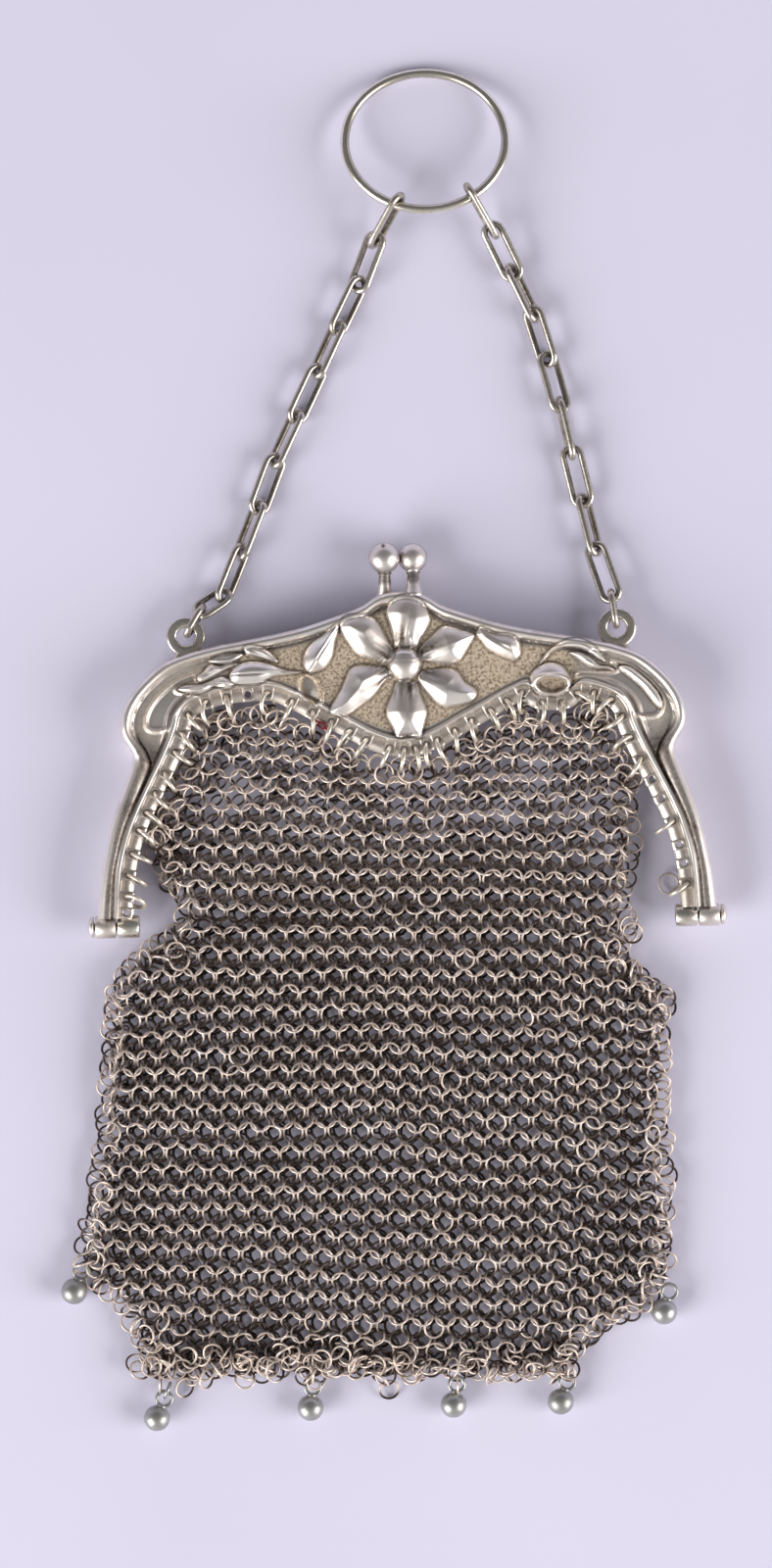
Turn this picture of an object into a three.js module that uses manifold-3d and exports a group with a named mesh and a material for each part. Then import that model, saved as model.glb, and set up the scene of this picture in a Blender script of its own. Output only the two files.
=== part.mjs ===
// Metal mesh purse: an arched two-part frame with a kiss-lock, a hollow mesh bag, ball drops,
// and two chains to a finger ring. It lies on its back. Millimetres; x runs across the purse,
// y from the hinges towards the finger ring, z up from the surface that it lies on.

import * as THREE from 'three';
import { mergeVertices } from 'three/addons/utils/BufferGeometryUtils.js';
import Module from 'manifold-3d';

const wasm = await Module();
wasm.setup();

// Gap between neighbours that touch on the real purse
const clearance = 0.3;
const flangeGap = 0.35;

// Frame outline
const frameSpan = 94.4;
const frameRise = 50.3;
const halfSpan = frameSpan / 2;

// Frame depth, from the floor to the parting plane and on to the front field
const partingHeight = 3.6;
const frontDepth = 2.9;
const sheet = 0.9;
const rimWall = 1.1;
const beadWidth = 1.3;
const beadRise = 0.7;
const innerBeadWidth = 0.9;
const innerBeadRise = 0.4;
const fieldCrown = 0.15;
const backChamfer = 0.6;

// Flange that the mesh is sewn to
const flangeWidth = 2.3;
const flangeSheet = 0.6;
const flangeDrop = 1.2;
const holeDiameter = 1.1;
const holePitch = 3.2;
const holeEndMargin = 2.2;
const holeSides = 5;

// Hinge barrels
const barrelDiameter = 3.5;
const barrelSides = 10;
const boreDiameter = 1.8;
const boreSides = 8;
const hingeInset = 6.2;
const seamInset = 2.75;
const hingeReach = 0.5;
const innerKnuckleStart = halfSpan - hingeInset;
const knuckleSeam = halfSpan - seamInset;
const outerKnuckleEnd = halfSpan + hingeReach;
const lugWidth = 2.6;
const lugReach = 1.0;
const pinDiameter = boreDiameter - 2 * clearance;
const pinSides = 8;
const pinHeadDiameter = 3.3;
const pinHeadRise = 0.9;
const pinTailDiameter = 2.4;
const pinTailRise = 0.4;

// Kiss-lock balls, each on a stem that leans over the parting plane
const backBallDiameter = 4.6;
const frontBallDiameter = 4.3;
const ballHeight = 5.2;
const ballLean = 0.9;
const backBallX = -2.4;
const frontBallX = 1.95;
const stemDiameter = 1.5;
const stemSides = 8;
const ballSides = 10;
const ballRows = 5;

// Flat ears for the chains
const earDiameter = 6.0;
const earHole = 2.8;
const earSheet = 1.0;
const earInset = 14.2;
const earX = halfSpan - earInset;
const earNeckWidth = 3.2;
const earSides = 12;
const earHoleSides = 9;

// Raised ornament on the front
const reliefSink = 0.4;
const flowerX = 0.4;
const flowerBelowTop = 11.2;
const flowerY = frameRise - flowerBelowTop;
const petalLength = 12.4;
const petalWidth = 5.8;
const petalRise = 1.3;
const bossDiameter = 4.8;
const bossRise = 1.9;
const bossSides = 8;
const leafLength = 18.7;
const leafWidth = 5.0;
const leafRise = 1.0;

// Chains and finger ring
const chainWire = 0.95;
const linkLength = 10.1;
const linkWidth = 3.7;
const shortLinkLength = 6.8;
const endLinkWidth = 3.8;
const linkWireSides = 5;
const ringWidth = 26.0;
const ringLength = 23.8;
const ringWire = 1.4;
const ringLift = 5.19;
const ringX = 5.2;
const chainRun = 64.14;
const ringStations = 22;
const ringWireSides = 6;

// Bag
const bagInset = 2.2;
const bagHalfWidth = halfSpan - bagInset;
const bagBelowTop = 13.3;
const bagHead = frameRise - bagBelowTop;
const bagDrop = 69.5;
const bagDepth = 7.6;
const bagWall = 1.5;

// Ball drops along the lower edge
const dropDiameter = 4.0;
const dropLoopDiameter = 2.9;
const dropWire = 0.6;
const dropSides = 10;
const dropRows = 5;

const rad = THREE.MathUtils.degToRad;

// Half of the frame from the top of the arch to the hinge, as shares: outer edge and inner
// bead edge across (of half the span) and up (of the rise), and the flange's width.
const archRows = [
  { outX: 0.000, outY: 1.000, inX: 0.000, inY: 0.543, flange: 1.00 },
  { outX: 0.068, outY: 0.990, inX: 0.051, inY: 0.551, flange: 1.00 },
  { outX: 0.133, outY: 0.954, inX: 0.110, inY: 0.573, flange: 1.00 },
  { outX: 0.222, outY: 0.924, inX: 0.182, inY: 0.610, flange: 1.00 },
  { outX: 0.318, outY: 0.897, inX: 0.258, inY: 0.648, flange: 1.00 },
  { outX: 0.413, outY: 0.877, inX: 0.335, inY: 0.688, flange: 1.00 },
  { outX: 0.508, outY: 0.861, inX: 0.415, inY: 0.720, flange: 1.00 },
  { outX: 0.604, outY: 0.844, inX: 0.500, inY: 0.720, flange: 0.98 },
  { outX: 0.689, outY: 0.825, inX: 0.581, inY: 0.711, flange: 0.95 },
  { outX: 0.767, outY: 0.797, inX: 0.648, inY: 0.694, flange: 0.92 },
  { outX: 0.828, outY: 0.753, inX: 0.695, inY: 0.670, flange: 0.90 },
  { outX: 0.879, outY: 0.700, inX: 0.722, inY: 0.636, flange: 0.90 },
  { outX: 0.909, outY: 0.642, inX: 0.733, inY: 0.598, flange: 0.90 },
  { outX: 0.912, outY: 0.583, inX: 0.752, inY: 0.553, flange: 0.90 },
  { outX: 0.883, outY: 0.535, inX: 0.778, inY: 0.501, flange: 0.90 },
  { outX: 0.875, outY: 0.507, inX: 0.790, inY: 0.477, flange: 0.90 },
  { outX: 0.898, outY: 0.441, inX: 0.818, inY: 0.427, flange: 0.90 },
  { outX: 0.930, outY: 0.364, inX: 0.858, inY: 0.350, flange: 0.90 },
  { outX: 0.956, outY: 0.290, inX: 0.888, inY: 0.282, flange: 0.88 },
  { outX: 0.977, outY: 0.197, inX: 0.913, inY: 0.195, flange: 0.86 },
  { outX: 0.990, outY: 0.125, inX: 0.924, inY: 0.123, flange: 0.84 },
  { outX: 1.000, outY: 0.026, inX: 0.930, inY: 0.026, flange: 0.82 },
];

// Six petals: direction in degrees, length and width as shares of the petal's sizes
const petals = [
  { turn: 91, length: 0.86, width: 1.05 },
  { turn: 26, length: 1.00, width: 0.95 },
  { turn: -27, length: 0.97, width: 0.95 },
  { turn: -90, length: 0.90, width: 1.05 },
  { turn: 213, length: 1.03, width: 1.00 },
  { turn: 146, length: 0.99, width: 1.00 },
];

// Leaves, buds and tendrils: root across (of half the span) and up (of the rise), direction in
// degrees, length, width and rise as shares of the leaf's sizes
const sprays = [
  { x: -0.268, y: 0.800, turn: 74, length: 0.42, width: 0.95, rise: 1.2 },
  { x: -0.305, y: 0.700, turn: 50, length: 0.32, width: 0.60, rise: 1.0 },
  { x: -0.350, y: 0.752, turn: 183, length: 0.62, width: 0.80, rise: 1.1 },
  { x: -0.385, y: 0.775, turn: 158, length: 0.38, width: 0.62, rise: 1.0 },
  { x: -0.560, y: 0.765, turn: 178, length: 0.34, width: 0.55, rise: 0.8 },
  { x: 0.240, y: 0.880, turn: -32, length: 0.52, width: 0.85, rise: 1.1 },
  { x: 0.420, y: 0.765, turn: 8, length: 0.42, width: 1.05, rise: 1.3 },
  { x: 0.425, y: 0.820, turn: 14, length: 0.46, width: 0.45, rise: 1.0 },
  { x: 0.590, y: 0.845, turn: -22, length: 0.48, width: 0.42, rise: 0.9 },
  { x: 0.745, y: 0.770, turn: -52, length: 0.42, width: 0.46, rise: 1.0 },
  { x: -0.700, y: 0.735, turn: 232, length: 0.46, width: 0.50, rise: 0.7 },
];

// Stations along a petal and a leaf: share of the length, half width, height of the two
// shoulders and of the middle line
const petalForm = [
  { along: 0.10, half: 0.22, shoulder: 0.50, middle: 0.45 },
  { along: 0.42, half: 0.66, shoulder: 0.80, middle: 0.55 },
  { along: 0.74, half: 1.00, shoulder: 1.00, middle: 0.70 },
  { along: 1.00, half: 0.34, shoulder: 0.50, middle: 0.40 },
];
const leafForm = [
  { along: 0.00, half: 0.30, shoulder: 0.35, middle: 0.60 },
  { along: 0.45, half: 1.00, shoulder: 0.70, middle: 1.00 },
  { along: 1.00, half: 0.16, shoulder: 0.25, middle: 0.40 },
];

// Bag from its head, hidden behind the frame's flange, to its lower edge: share of the way
// down, half widths to the left and right, and height of the front wall
const bagRows = [
  { down: 0.000, left: 0.933, right: 0.933, lift: 0.86 },
  { down: 0.085, left: 0.933, right: 0.911, lift: 0.92 },
  { down: 0.166, left: 0.925, right: 0.811, lift: 0.97 },
  { down: 0.225, left: 0.889, right: 0.782, lift: 1.00 },
  { down: 0.282, left: 0.822, right: 0.787, lift: 1.00 },
  { down: 0.319, left: 0.778, right: 0.769, lift: 1.00 },
  { down: 0.362, left: 0.807, right: 0.782, lift: 0.99 },
  { down: 0.394, left: 0.933, right: 0.769, lift: 0.98 },
  { down: 0.423, left: 1.000, right: 0.787, lift: 0.96 },
  { down: 0.467, left: 1.033, right: 0.898, lift: 0.95 },
  { down: 0.580, left: 1.050, right: 0.872, lift: 0.89 },
  { down: 0.714, left: 1.091, right: 0.878, lift: 0.78 },
  { down: 0.779, left: 1.120, right: 0.880, lift: 0.72 },
  { down: 0.826, left: 1.111, right: 0.876, lift: 0.67 },
  { down: 0.873, left: 1.062, right: 0.847, lift: 0.62 },
  { down: 0.920, left: 0.984, right: 0.760, lift: 0.57 },
  { down: 0.967, left: 0.933, right: 0.613, lift: 0.52 },
  { down: 1.000, left: 0.856, right: 0.544, lift: 0.46 },
];

// Furrows of the front wall: centre across (of the half width) and down, half length and half
// width (of the half width), depth (of the bag's depth) and direction in degrees
const furrows = [
  { x: -0.90, down: 0.64, length: 0.52, width: 0.05, depth: 0.13, turn: 93 },
  { x: 0.78, down: 0.66, length: 0.44, width: 0.05, depth: 0.12, turn: 90 },
  { x: -0.08, down: 0.40, length: 0.70, width: 0.06, depth: 0.08, turn: 1 },
  { x: 0.58, down: 0.78, length: 0.22, width: 0.07, depth: 0.10, turn: -48 },
  { x: -0.66, down: 0.90, length: 0.26, width: 0.06, depth: 0.08, turn: 14 },
  { x: -0.55, down: 0.17, length: 0.20, width: 0.06, depth: 0.06, turn: 60 },
];

// Points round the bag: share of the half width and of the wall's height
const bagFront = [-0.94, -0.89, -0.80, -0.52, -0.20, 0.12, 0.44, 0.72, 0.84, 0.91, 0.95];
const bagBack = [0.96, 0.30, -0.30, -0.96];

// Drops: bag edge that each hangs from, place along it (down for a side, across for the
// bottom), and directions of its loop and of its ball in degrees
const drops = [
  { edge: 'left', at: 0.838, turn: 200, hang: 248 },
  { edge: 'bottom', at: -0.845, turn: 262, hang: 248, linked: true },
  { edge: 'bottom', at: -0.355, turn: 270, hang: 262 },
  { edge: 'bottom', at: 0.135, turn: 270, hang: 260 },
  { edge: 'bottom', at: 0.512, turn: 270, hang: 250 },
  { edge: 'right', at: 0.880, turn: -35, hang: 254 },
];

// Route of the two chains as laid down. Each hangs on the finger ring at a share of half its
// width, inside the wire and over it by shares of the chain's wire. Then come the points where
// each link meets the next: share of the way up from the ear to the ring, sideways from the
// straight line and height above the floor (shares of the link's width), and the roll in
// degrees of the link that starts there.
const chainRoute = {
  left: [
    { across: -0.3462, inside: 0.779, over: 0.253, roll: -72 },
    { up: 0.9147, sway: -0.142, lift: 0.838, roll: 24 },
    { up: 0.8156, sway: 0.030, lift: 0.486, roll: -42 },
    { up: 0.7166, sway: 0.041, lift: 0.432, roll: 52 },
    { up: 0.6145, sway: 0.078, lift: 0.405, roll: -34 },
    { up: 0.5094, sway: 0.117, lift: 0.405, roll: 54 },
    { up: 0.4073, sway: 0.155, lift: 0.405, roll: -26 },
    { up: 0.2992, sway: 0.383, lift: 0.405, roll: 54 },
    { up: 0.1956, sway: 0.570, lift: 0.432, roll: -50 },
    { up: 0.0950, sway: 0.729, lift: 0.622, roll: 34 },
    { up: 0.0600, sway: 0.102, lift: 0.797, roll: -84 },
  ],
  right: [
    { across: 0.5154, inside: 0.987, over: 0.241, roll: 88 },
    { up: 0.9147, sway: 0.406, lift: 0.838, roll: 10 },
    { up: 0.8205, sway: 0.679, lift: 0.527, roll: -62 },
    { up: 0.7247, sway: 0.944, lift: 0.446, roll: 36 },
    { up: 0.6200, sway: 0.914, lift: 0.405, roll: -30 },
    { up: 0.5137, sway: 0.795, lift: 0.514, roll: 84 },
    { up: 0.4060, sway: 0.586, lift: 0.514, roll: 12 },
    { up: 0.2938, sway: 0.405, lift: 0.432, roll: -56 },
    { up: 0.1816, sway: 0.225, lift: 0.541, roll: 16 },
    { up: 0.0738, sway: 0.232, lift: 0.797, roll: -84 },
  ],
};

// Heights that the tables above are set between
const backTop = partingHeight - clearance / 2;
const frontBottom = partingHeight + clearance / 2;
const fieldTop = partingHeight + frontDepth;
const frontFlangeTop = fieldTop - flangeDrop;
const frontFlangeBottom = frontFlangeTop - flangeSheet;
const backFlangeTop = 2 * partingHeight - frontFlangeBottom;
const backFlangeBottom = backFlangeTop - flangeSheet;

const vec = (x, y, z) => new THREE.Vector3(x, y, z);

function signedVolume(positions, index) {
  const a = new THREE.Vector3();
  const b = new THREE.Vector3();
  const c = new THREE.Vector3();
  let volume = 0;
  for (let i = 0; i < index.length; i += 3) {
    a.fromArray(positions, index[i] * 3);
    b.fromArray(positions, index[i + 1] * 3);
    c.fromArray(positions, index[i + 2] * 3);
    volume += a.dot(b.cross(c)) / 6;
  }
  return volume;
}

function closedGeometry(positions, index) {
  if (signedVolume(positions, index) < 0) {
    for (let i = 0; i < index.length; i += 3) {
      [index[i + 1], index[i + 2]] = [index[i + 2], index[i + 1]];
    }
  }
  const geometry = new THREE.BufferGeometry();
  geometry.setAttribute('position', new THREE.Float32BufferAttribute(positions, 3));
  geometry.setIndex(index);
  return geometry;
}

function capTriangles(outline) {
  const turn = Math.sign(THREE.ShapeUtils.area(outline));
  return THREE.ShapeUtils.triangulateShape(outline, []).map((face) => {
    const corners = face.map((i) => outline[i]);
    return Math.sign(THREE.ShapeUtils.area(corners)) === turn ? face : [face[0], face[2], face[1]];
  });
}

// Cap of a long thin end as a fan round its own middle point
function fanCap(loop, offset, centre, positions, index) {
  const middle = positions.length / 3;
  positions.push(centre.x, centre.y, centre.z);
  loop.forEach((_, j) => {
    const k = (j + 1) % loop.length;
    index.push(middle, offset + (offset ? j : k), offset + (offset ? k : j));
  });
}

// Skin over loops of points; open ends are capped from each end loop's own flat outline
function skin(loops, ends) {
  const count = loops[0].length;
  const positions = loops.flatMap((loop) => loop.flatMap((p) => [p.x, p.y, p.z]));
  const index = [];
  const steps = ends ? loops.length - 1 : loops.length;
  for (let i = 0; i < steps; i += 1) {
    const here = i * count;
    const next = ((i + 1) % loops.length) * count;
    for (let j = 0; j < count; j += 1) {
      const k = (j + 1) % count;
      index.push(here + j, here + k, next + k, here + j, next + k, next + j);
    }
  }
  const last = (loops.length - 1) * count;
  if (ends && ends[0].isVector3) {
    fanCap(loops[0], 0, ends[0], positions, index);
    fanCap(loops[loops.length - 1], last, ends[1], positions, index);
  } else if (ends) {
    capTriangles(ends[0]).forEach(([a, b, c]) => index.push(a, c, b));
    capTriangles(ends[1]).forEach(([a, b, c]) => index.push(last + a, last + b, last + c));
  }
  return closedGeometry(positions, index);
}

function toSolid(geometry) {
  const bare = geometry.clone();
  bare.deleteAttribute('normal');
  bare.deleteAttribute('uv');
  const merged = mergeVertices(bare, 1e-4);
  return new wasm.Manifold(new wasm.Mesh({
    numProp: 3,
    vertProperties: new Float32Array(merged.attributes.position.array),
    triVerts: new Uint32Array(merged.index.array),
  }));
}

function toGeometry(solid) {
  const mesh = solid.getMesh();
  const geometry = new THREE.BufferGeometry();
  geometry.setAttribute('position', new THREE.Float32BufferAttribute(mesh.vertProperties, 3));
  geometry.setIndex(Array.from(mesh.triVerts));
  return geometry;
}

const joined = (first, ...others) => others.reduce((sum, next) => sum.add(next), first);

// Frame sections

function archSection(row, side) {
  const outer = new THREE.Vector2(side * row.outX * halfSpan, row.outY * frameRise);
  const inner = new THREE.Vector2(side * row.inX * halfSpan, row.inY * frameRise);
  const inward = inner.clone().sub(outer).normalize();
  return { outer, inner, inward, width: outer.distanceTo(inner), flange: row.flange * flangeWidth };
}

const archSections = [
  ...archRows.slice(1).reverse().map((row) => archSection(row, -1)),
  ...archRows.map((row) => archSection(row, 1)),
];

const sectionPoint = (section, inset, z) => vec(
  section.outer.x + section.inward.x * inset,
  section.outer.y + section.inward.y * inset,
  z,
);

function frontProfile({ width, flange }) {
  return [
    [0, frontBottom],
    [0, fieldTop],
    [beadWidth / 2, fieldTop + beadRise],
    [beadWidth, fieldTop],
    [(beadWidth + width - innerBeadWidth) / 2, fieldTop + fieldCrown],
    [width - innerBeadWidth, fieldTop],
    [width - innerBeadWidth / 2, fieldTop + innerBeadRise],
    [width, frontFlangeTop],
    [width + flange, frontFlangeTop],
    [width + flange, frontFlangeBottom],
    [width - innerBeadWidth / 2, frontFlangeBottom],
    [width - innerBeadWidth, fieldTop - sheet],
    [rimWall, fieldTop - sheet],
    [rimWall, frontBottom],
  ];
}

function backProfile({ width, flange }) {
  return [
    [0, backTop],
    [rimWall, backTop],
    [rimWall, sheet],
    [width - innerBeadWidth, sheet],
    [width - innerBeadWidth / 2, backFlangeTop],
    [width + flange, backFlangeTop],
    [width + flange, backFlangeBottom],
    [width, backFlangeBottom],
    [width - backChamfer, 0],
    [backChamfer, 0],
    [0, backChamfer],
  ];
}

function archSolid(profile) {
  const flats = archSections.map((section) => profile(section));
  const loops = flats.map((flat, i) => flat.map(([inset, z]) => sectionPoint(archSections[i], inset, z)));
  const outlines = [flats[0], flats[flats.length - 1]];
  return toSolid(skin(loops, outlines.map((flat) => flat.map(([a, b]) => new THREE.Vector2(a, b)))));
}

// Points along the outer edge and along the flange, for what sits on them
function outerHeightAt(x) {
  const rows = archRows.map((row) => [row.outX * halfSpan, row.outY * frameRise]);
  const share = Math.abs(x);
  for (let i = 1; i < rows.length; i += 1) {
    if (rows[i][0] >= share) {
      const part = (share - rows[i - 1][0]) / (rows[i][0] - rows[i - 1][0]);
      return rows[i - 1][1] + part * (rows[i][1] - rows[i - 1][1]);
    }
  }
  return rows[rows.length - 1][1];
}

function flangeHolePoints() {
  const line = archRows.map((row) => {
    const section = archSection(row, 1);
    return section.inner.clone().addScaledVector(section.inward, section.flange / 2);
  });
  const lengths = [0];
  for (let i = 1; i < line.length; i += 1) {
    lengths.push(lengths[i - 1] + line[i].distanceTo(line[i - 1]));
  }
  const total = lengths[lengths.length - 1] - holeEndMargin;
  const points = [];
  for (let s = 0; s <= total; s += holePitch) {
    const i = lengths.findIndex((length) => length > s) - 1;
    const part = (s - lengths[i]) / (lengths[i + 1] - lengths[i]);
    const point = line[i].clone().lerp(line[i + 1], part);
    points.push(point);
    if (s > 0) points.push(new THREE.Vector2(-point.x, point.y));
  }
  return points;
}

// A round bar between two points, along x by default
function bar(from, to, startDiameter, endDiameter, sides) {
  const axis = to.clone().sub(from);
  const geometry = new THREE.CylinderGeometry(endDiameter / 2, startDiameter / 2, axis.length(), sides);
  const turn = new THREE.Quaternion().setFromUnitVectors(vec(0, 1, 0), axis.clone().normalize());
  geometry.applyQuaternion(turn);
  const middle = from.clone().add(to).multiplyScalar(0.5);
  geometry.translate(middle.x, middle.y, middle.z);
  return toSolid(geometry);
}

const axisBar = (x0, x1, diameter, sides) => bar(
  vec(x0, 0, partingHeight),
  vec(x1, 0, partingHeight),
  diameter,
  diameter,
  sides,
);

function ball(centre, diameter, sides, rows) {
  const geometry = new THREE.SphereGeometry(diameter / 2, sides, rows);
  geometry.rotateX(Math.PI / 2);
  geometry.translate(centre.x, centre.y, centre.z);
  return toSolid(geometry);
}

function holeTools(bottom, top) {
  const tools = flangeHolePoints().map((p) => bar(
    vec(p.x, p.y, bottom - clearance),
    vec(p.x, p.y, top + clearance),
    holeDiameter,
    holeDiameter,
    holeSides,
  ));
  return joined(...tools);
}

// A raised petal or leaf standing in the field
function mound(root, turn, length, width, rise, form) {
  const dir = new THREE.Vector2(Math.cos(rad(turn)), Math.sin(rad(turn)));
  const side = new THREE.Vector2(-dir.y, dir.x);
  const base = fieldTop - reliefSink;
  const flats = form.map((row) => {
    const half = (row.half * width) / 2;
    return [
      [-half, base],
      [-half * 0.62, fieldTop + row.shoulder * rise],
      [0, fieldTop + row.middle * rise],
      [half * 0.62, fieldTop + row.shoulder * rise],
      [half, base],
    ];
  });
  const loops = flats.map((flat, i) => flat.map(([across, z]) => {
    const along = form[i].along * length;
    return vec(root.x + dir.x * along + side.x * across, root.y + dir.y * along + side.y * across, z);
  }));
  const outlines = [flats[0], flats[flats.length - 1]];
  return toSolid(skin(loops, outlines.map((flat) => flat.map(([a, b]) => new THREE.Vector2(a, b)))));
}

function ornament() {
  const centre = new THREE.Vector2(flowerX, flowerY);
  const parts = petals.map((petal) => mound(
    centre,
    petal.turn,
    petal.length * petalLength,
    petal.width * petalWidth,
    petalRise,
    petalForm,
  ));
  sprays.forEach((spray) => {
    const root = new THREE.Vector2(spray.x * halfSpan, spray.y * frameRise);
    const width = spray.width * leafWidth;
    parts.push(mound(root, spray.turn, spray.length * leafLength, width, spray.rise * leafRise, leafForm));
  });
  const boss = bar(
    vec(flowerX, flowerY, fieldTop - reliefSink),
    vec(flowerX, flowerY, fieldTop + bossRise),
    bossDiameter,
    bossDiameter / 2,
    bossSides,
  );
  return joined(boss, ...parts);
}

// Frame halves

const bores = joined(...[-1, 1].map((side) => axisBar(
  side * (innerKnuckleStart - clearance),
  side * (outerKnuckleEnd + clearance),
  boreDiameter,
  boreSides,
)));

const barrelRoom = barrelDiameter + 2 * clearance;

function knuckles(start, end) {
  return joined(...[-1, 1].map((side) => axisBar(side * start, side * end, barrelDiameter, barrelSides)));
}

// Lug that joins the inner knuckle to the arm of the back half
function lug(side) {
  const end = knuckleSeam - clearance / 2;
  const low = boreDiameter / 2 + clearance;
  const high = barrelDiameter / 2 + lugReach;
  const block = new THREE.BoxGeometry(lugWidth, high - low, backTop - backFlangeBottom);
  block.translate(side * (end - lugWidth / 2), (low + high) / 2, (backTop + backFlangeBottom) / 2);
  return toSolid(block);
}

function roomFor(start, end) {
  return joined(...[-1, 1].map((side) => axisBar(side * start, side * end, barrelRoom, barrelSides)));
}

const rimTopY = (x) => outerHeightAt(x) - rimWall / 2;

function ballOnStem(x, foot, diameter, height) {
  const centre = vec(x, frameRise + ballHeight, height);
  return joined(
    bar(vec(x, rimTopY(x), foot), centre, stemDiameter * 1.2, stemDiameter, stemSides),
    ball(centre, diameter, ballSides, ballRows),
  );
}

const frontBallHeight = partingHeight - ballLean;
const backBallHeight = partingHeight + ballLean;

const frontFrame = joined(
  archSolid(frontProfile),
  ornament(),
  ballOnStem(frontBallX, fieldTop - beadWidth, frontBallDiameter, frontBallHeight),
)
  .subtract(roomFor(innerKnuckleStart - clearance, knuckleSeam))
  .add(knuckles(knuckleSeam + clearance / 2, outerKnuckleEnd))
  .subtract(bores)
  .subtract(holeTools(frontFlangeBottom, frontFlangeTop));

function ear(side) {
  const centre = new THREE.Vector2(side * earX, outerHeightAt(earX) + earDiameter / 2 - clearance / 2);
  const ringPoints = (diameter, sides) => Array.from({ length: sides }, (_, i) => {
    const angle = (2 * Math.PI * (i + 0.5)) / sides;
    return new THREE.Vector2(
      centre.x + (Math.cos(angle) * diameter) / 2,
      centre.y + (Math.sin(angle) * diameter) / 2,
    );
  });
  const shape = new THREE.Shape(ringPoints(earDiameter, earSides));
  shape.holes.push(new THREE.Path(ringPoints(earHole, earHoleSides)));
  const plate = new THREE.ExtrudeGeometry(shape, { depth: earSheet, bevelEnabled: false });
  plate.translate(0, 0, backTop - earSheet);
  const neckTop = centre.y - (earHole + earDiameter) / 4;
  const neckLength = neckTop - (outerHeightAt(earX) - rimWall);
  const neck = new THREE.BoxGeometry(earNeckWidth, neckLength, earSheet);
  neck.translate(centre.x, neckTop - neckLength / 2, backTop - earSheet / 2);
  return toSolid(plate).add(toSolid(neck));
}

const backFrame = joined(
  archSolid(backProfile),
  ear(-1),
  ear(1),
  ballOnStem(backBallX, backTop - beadWidth, backBallDiameter, backBallHeight),
)
  .subtract(roomFor(knuckleSeam, outerKnuckleEnd + clearance))
  .add(knuckles(innerKnuckleStart, knuckleSeam - clearance / 2))
  .add(lug(-1))
  .add(lug(1))
  .subtract(bores)
  .subtract(holeTools(backFlangeBottom, backFlangeTop));

function hingePin(side) {
  const tail = innerKnuckleStart - clearance;
  const head = outerKnuckleEnd + clearance;
  const profile = [
    [0, tail - pinTailRise],
    [pinTailDiameter / 2, tail - pinTailRise],
    [pinTailDiameter / 2, tail],
    [pinDiameter / 2, tail],
    [pinDiameter / 2, head],
    [pinHeadDiameter / 2, head],
    [pinHeadDiameter * 0.42, head + pinHeadRise * 0.6],
    [0, head + pinHeadRise],
  ];
  const geometry = new THREE.LatheGeometry(profile.map(([r, y]) => new THREE.Vector2(r, y)), pinSides);
  geometry.rotateZ(-side * (Math.PI / 2));
  geometry.translate(0, 0, partingHeight);
  return toSolid(geometry);
}

// Closed wire loops: a flat path in the plane of two directions, with a round wire

function wireLoop(centre, along, across, path, wire, sides) {
  const normal = along.clone().cross(across).normalize();
  const place = ([a, b]) => centre.clone().addScaledVector(along, a).addScaledVector(across, b);
  const loops = path.map((point, i) => {
    const before = path[(i + path.length - 1) % path.length];
    const after = path[(i + 1) % path.length];
    const tangent = new THREE.Vector2(after[0] - before[0], after[1] - before[1]).normalize();
    const out = along.clone().multiplyScalar(tangent.y).addScaledVector(across, -tangent.x);
    return Array.from({ length: sides }, (_, k) => {
      const angle = (2 * Math.PI * k) / sides;
      return place(point)
        .addScaledVector(out, (Math.cos(angle) * wire) / 2)
        .addScaledVector(normal, (Math.sin(angle) * wire) / 2);
    });
  });
  return skin(loops, null);
}

function linkPath(length, width, wire) {
  const bend = (width - wire) / 2;
  const reach = (length - wire) / 2 - bend;
  const half = [-90, -45, 0, 45, 90].map((a) => [reach + bend * Math.cos(rad(a)), bend * Math.sin(rad(a))]);
  return [...half, ...half.map(([a, b]) => [-a, -b])];
}

function ovalPath(length, width, wire, stations) {
  return Array.from({ length: stations }, (_, i) => {
    const angle = (2 * Math.PI * i) / stations;
    return [((length - wire) / 2) * Math.cos(angle), ((width - wire) / 2) * Math.sin(angle)];
  });
}

function link(centre, along, roll, length, width) {
  const level = vec(0, 0, 1).cross(along).normalize();
  const upright = along.clone().cross(level);
  const across = level.multiplyScalar(Math.cos(rad(roll))).addScaledVector(upright, Math.sin(rad(roll)));
  return wireLoop(centre, along, across, linkPath(length, width, chainWire), chainWire, linkWireSides);
}

const meshes = [];
const silver = { color: 0xcfcabb, metalness: 1, roughness: 0.25 };
const plainSilver = { color: 0xb9b4a6, metalness: 1, roughness: 0.35 };
const tarnished = { color: 0x8a8378, metalness: 1, roughness: 0.35 };
const mailGrey = { color: 0x7d766b, metalness: 1, roughness: 0.45 };
const dropGrey = { color: 0x8f8f8b, metalness: 1, roughness: 0.45 };

function addMesh(name, geometry, look) {
  const mesh = new THREE.Mesh(geometry, new THREE.MeshStandardMaterial(look));
  mesh.name = name;
  meshes.push(mesh);
}

addMesh('front_frame', toGeometry(frontFrame), silver);
addMesh('back_frame', toGeometry(backFrame), plainSilver);
addMesh('hinge_pin_left', toGeometry(hingePin(-1)), silver);
addMesh('hinge_pin_right', toGeometry(hingePin(1)), silver);

// The finger ring lies on the floor at its far side and is held up by the chains at the near side
const earY = outerHeightAt(earX) + earDiameter / 2 - clearance / 2;
const ringRadius = (ringLength - ringWire) / 2;
const ringTilt = Math.asin(ringLift / (2 * ringRadius));
const ringCentre = vec(
  ringX,
  earY + chainRun + ringRadius * Math.cos(ringTilt),
  ringWire / 2 + ringRadius * Math.sin(ringTilt),
);

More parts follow.
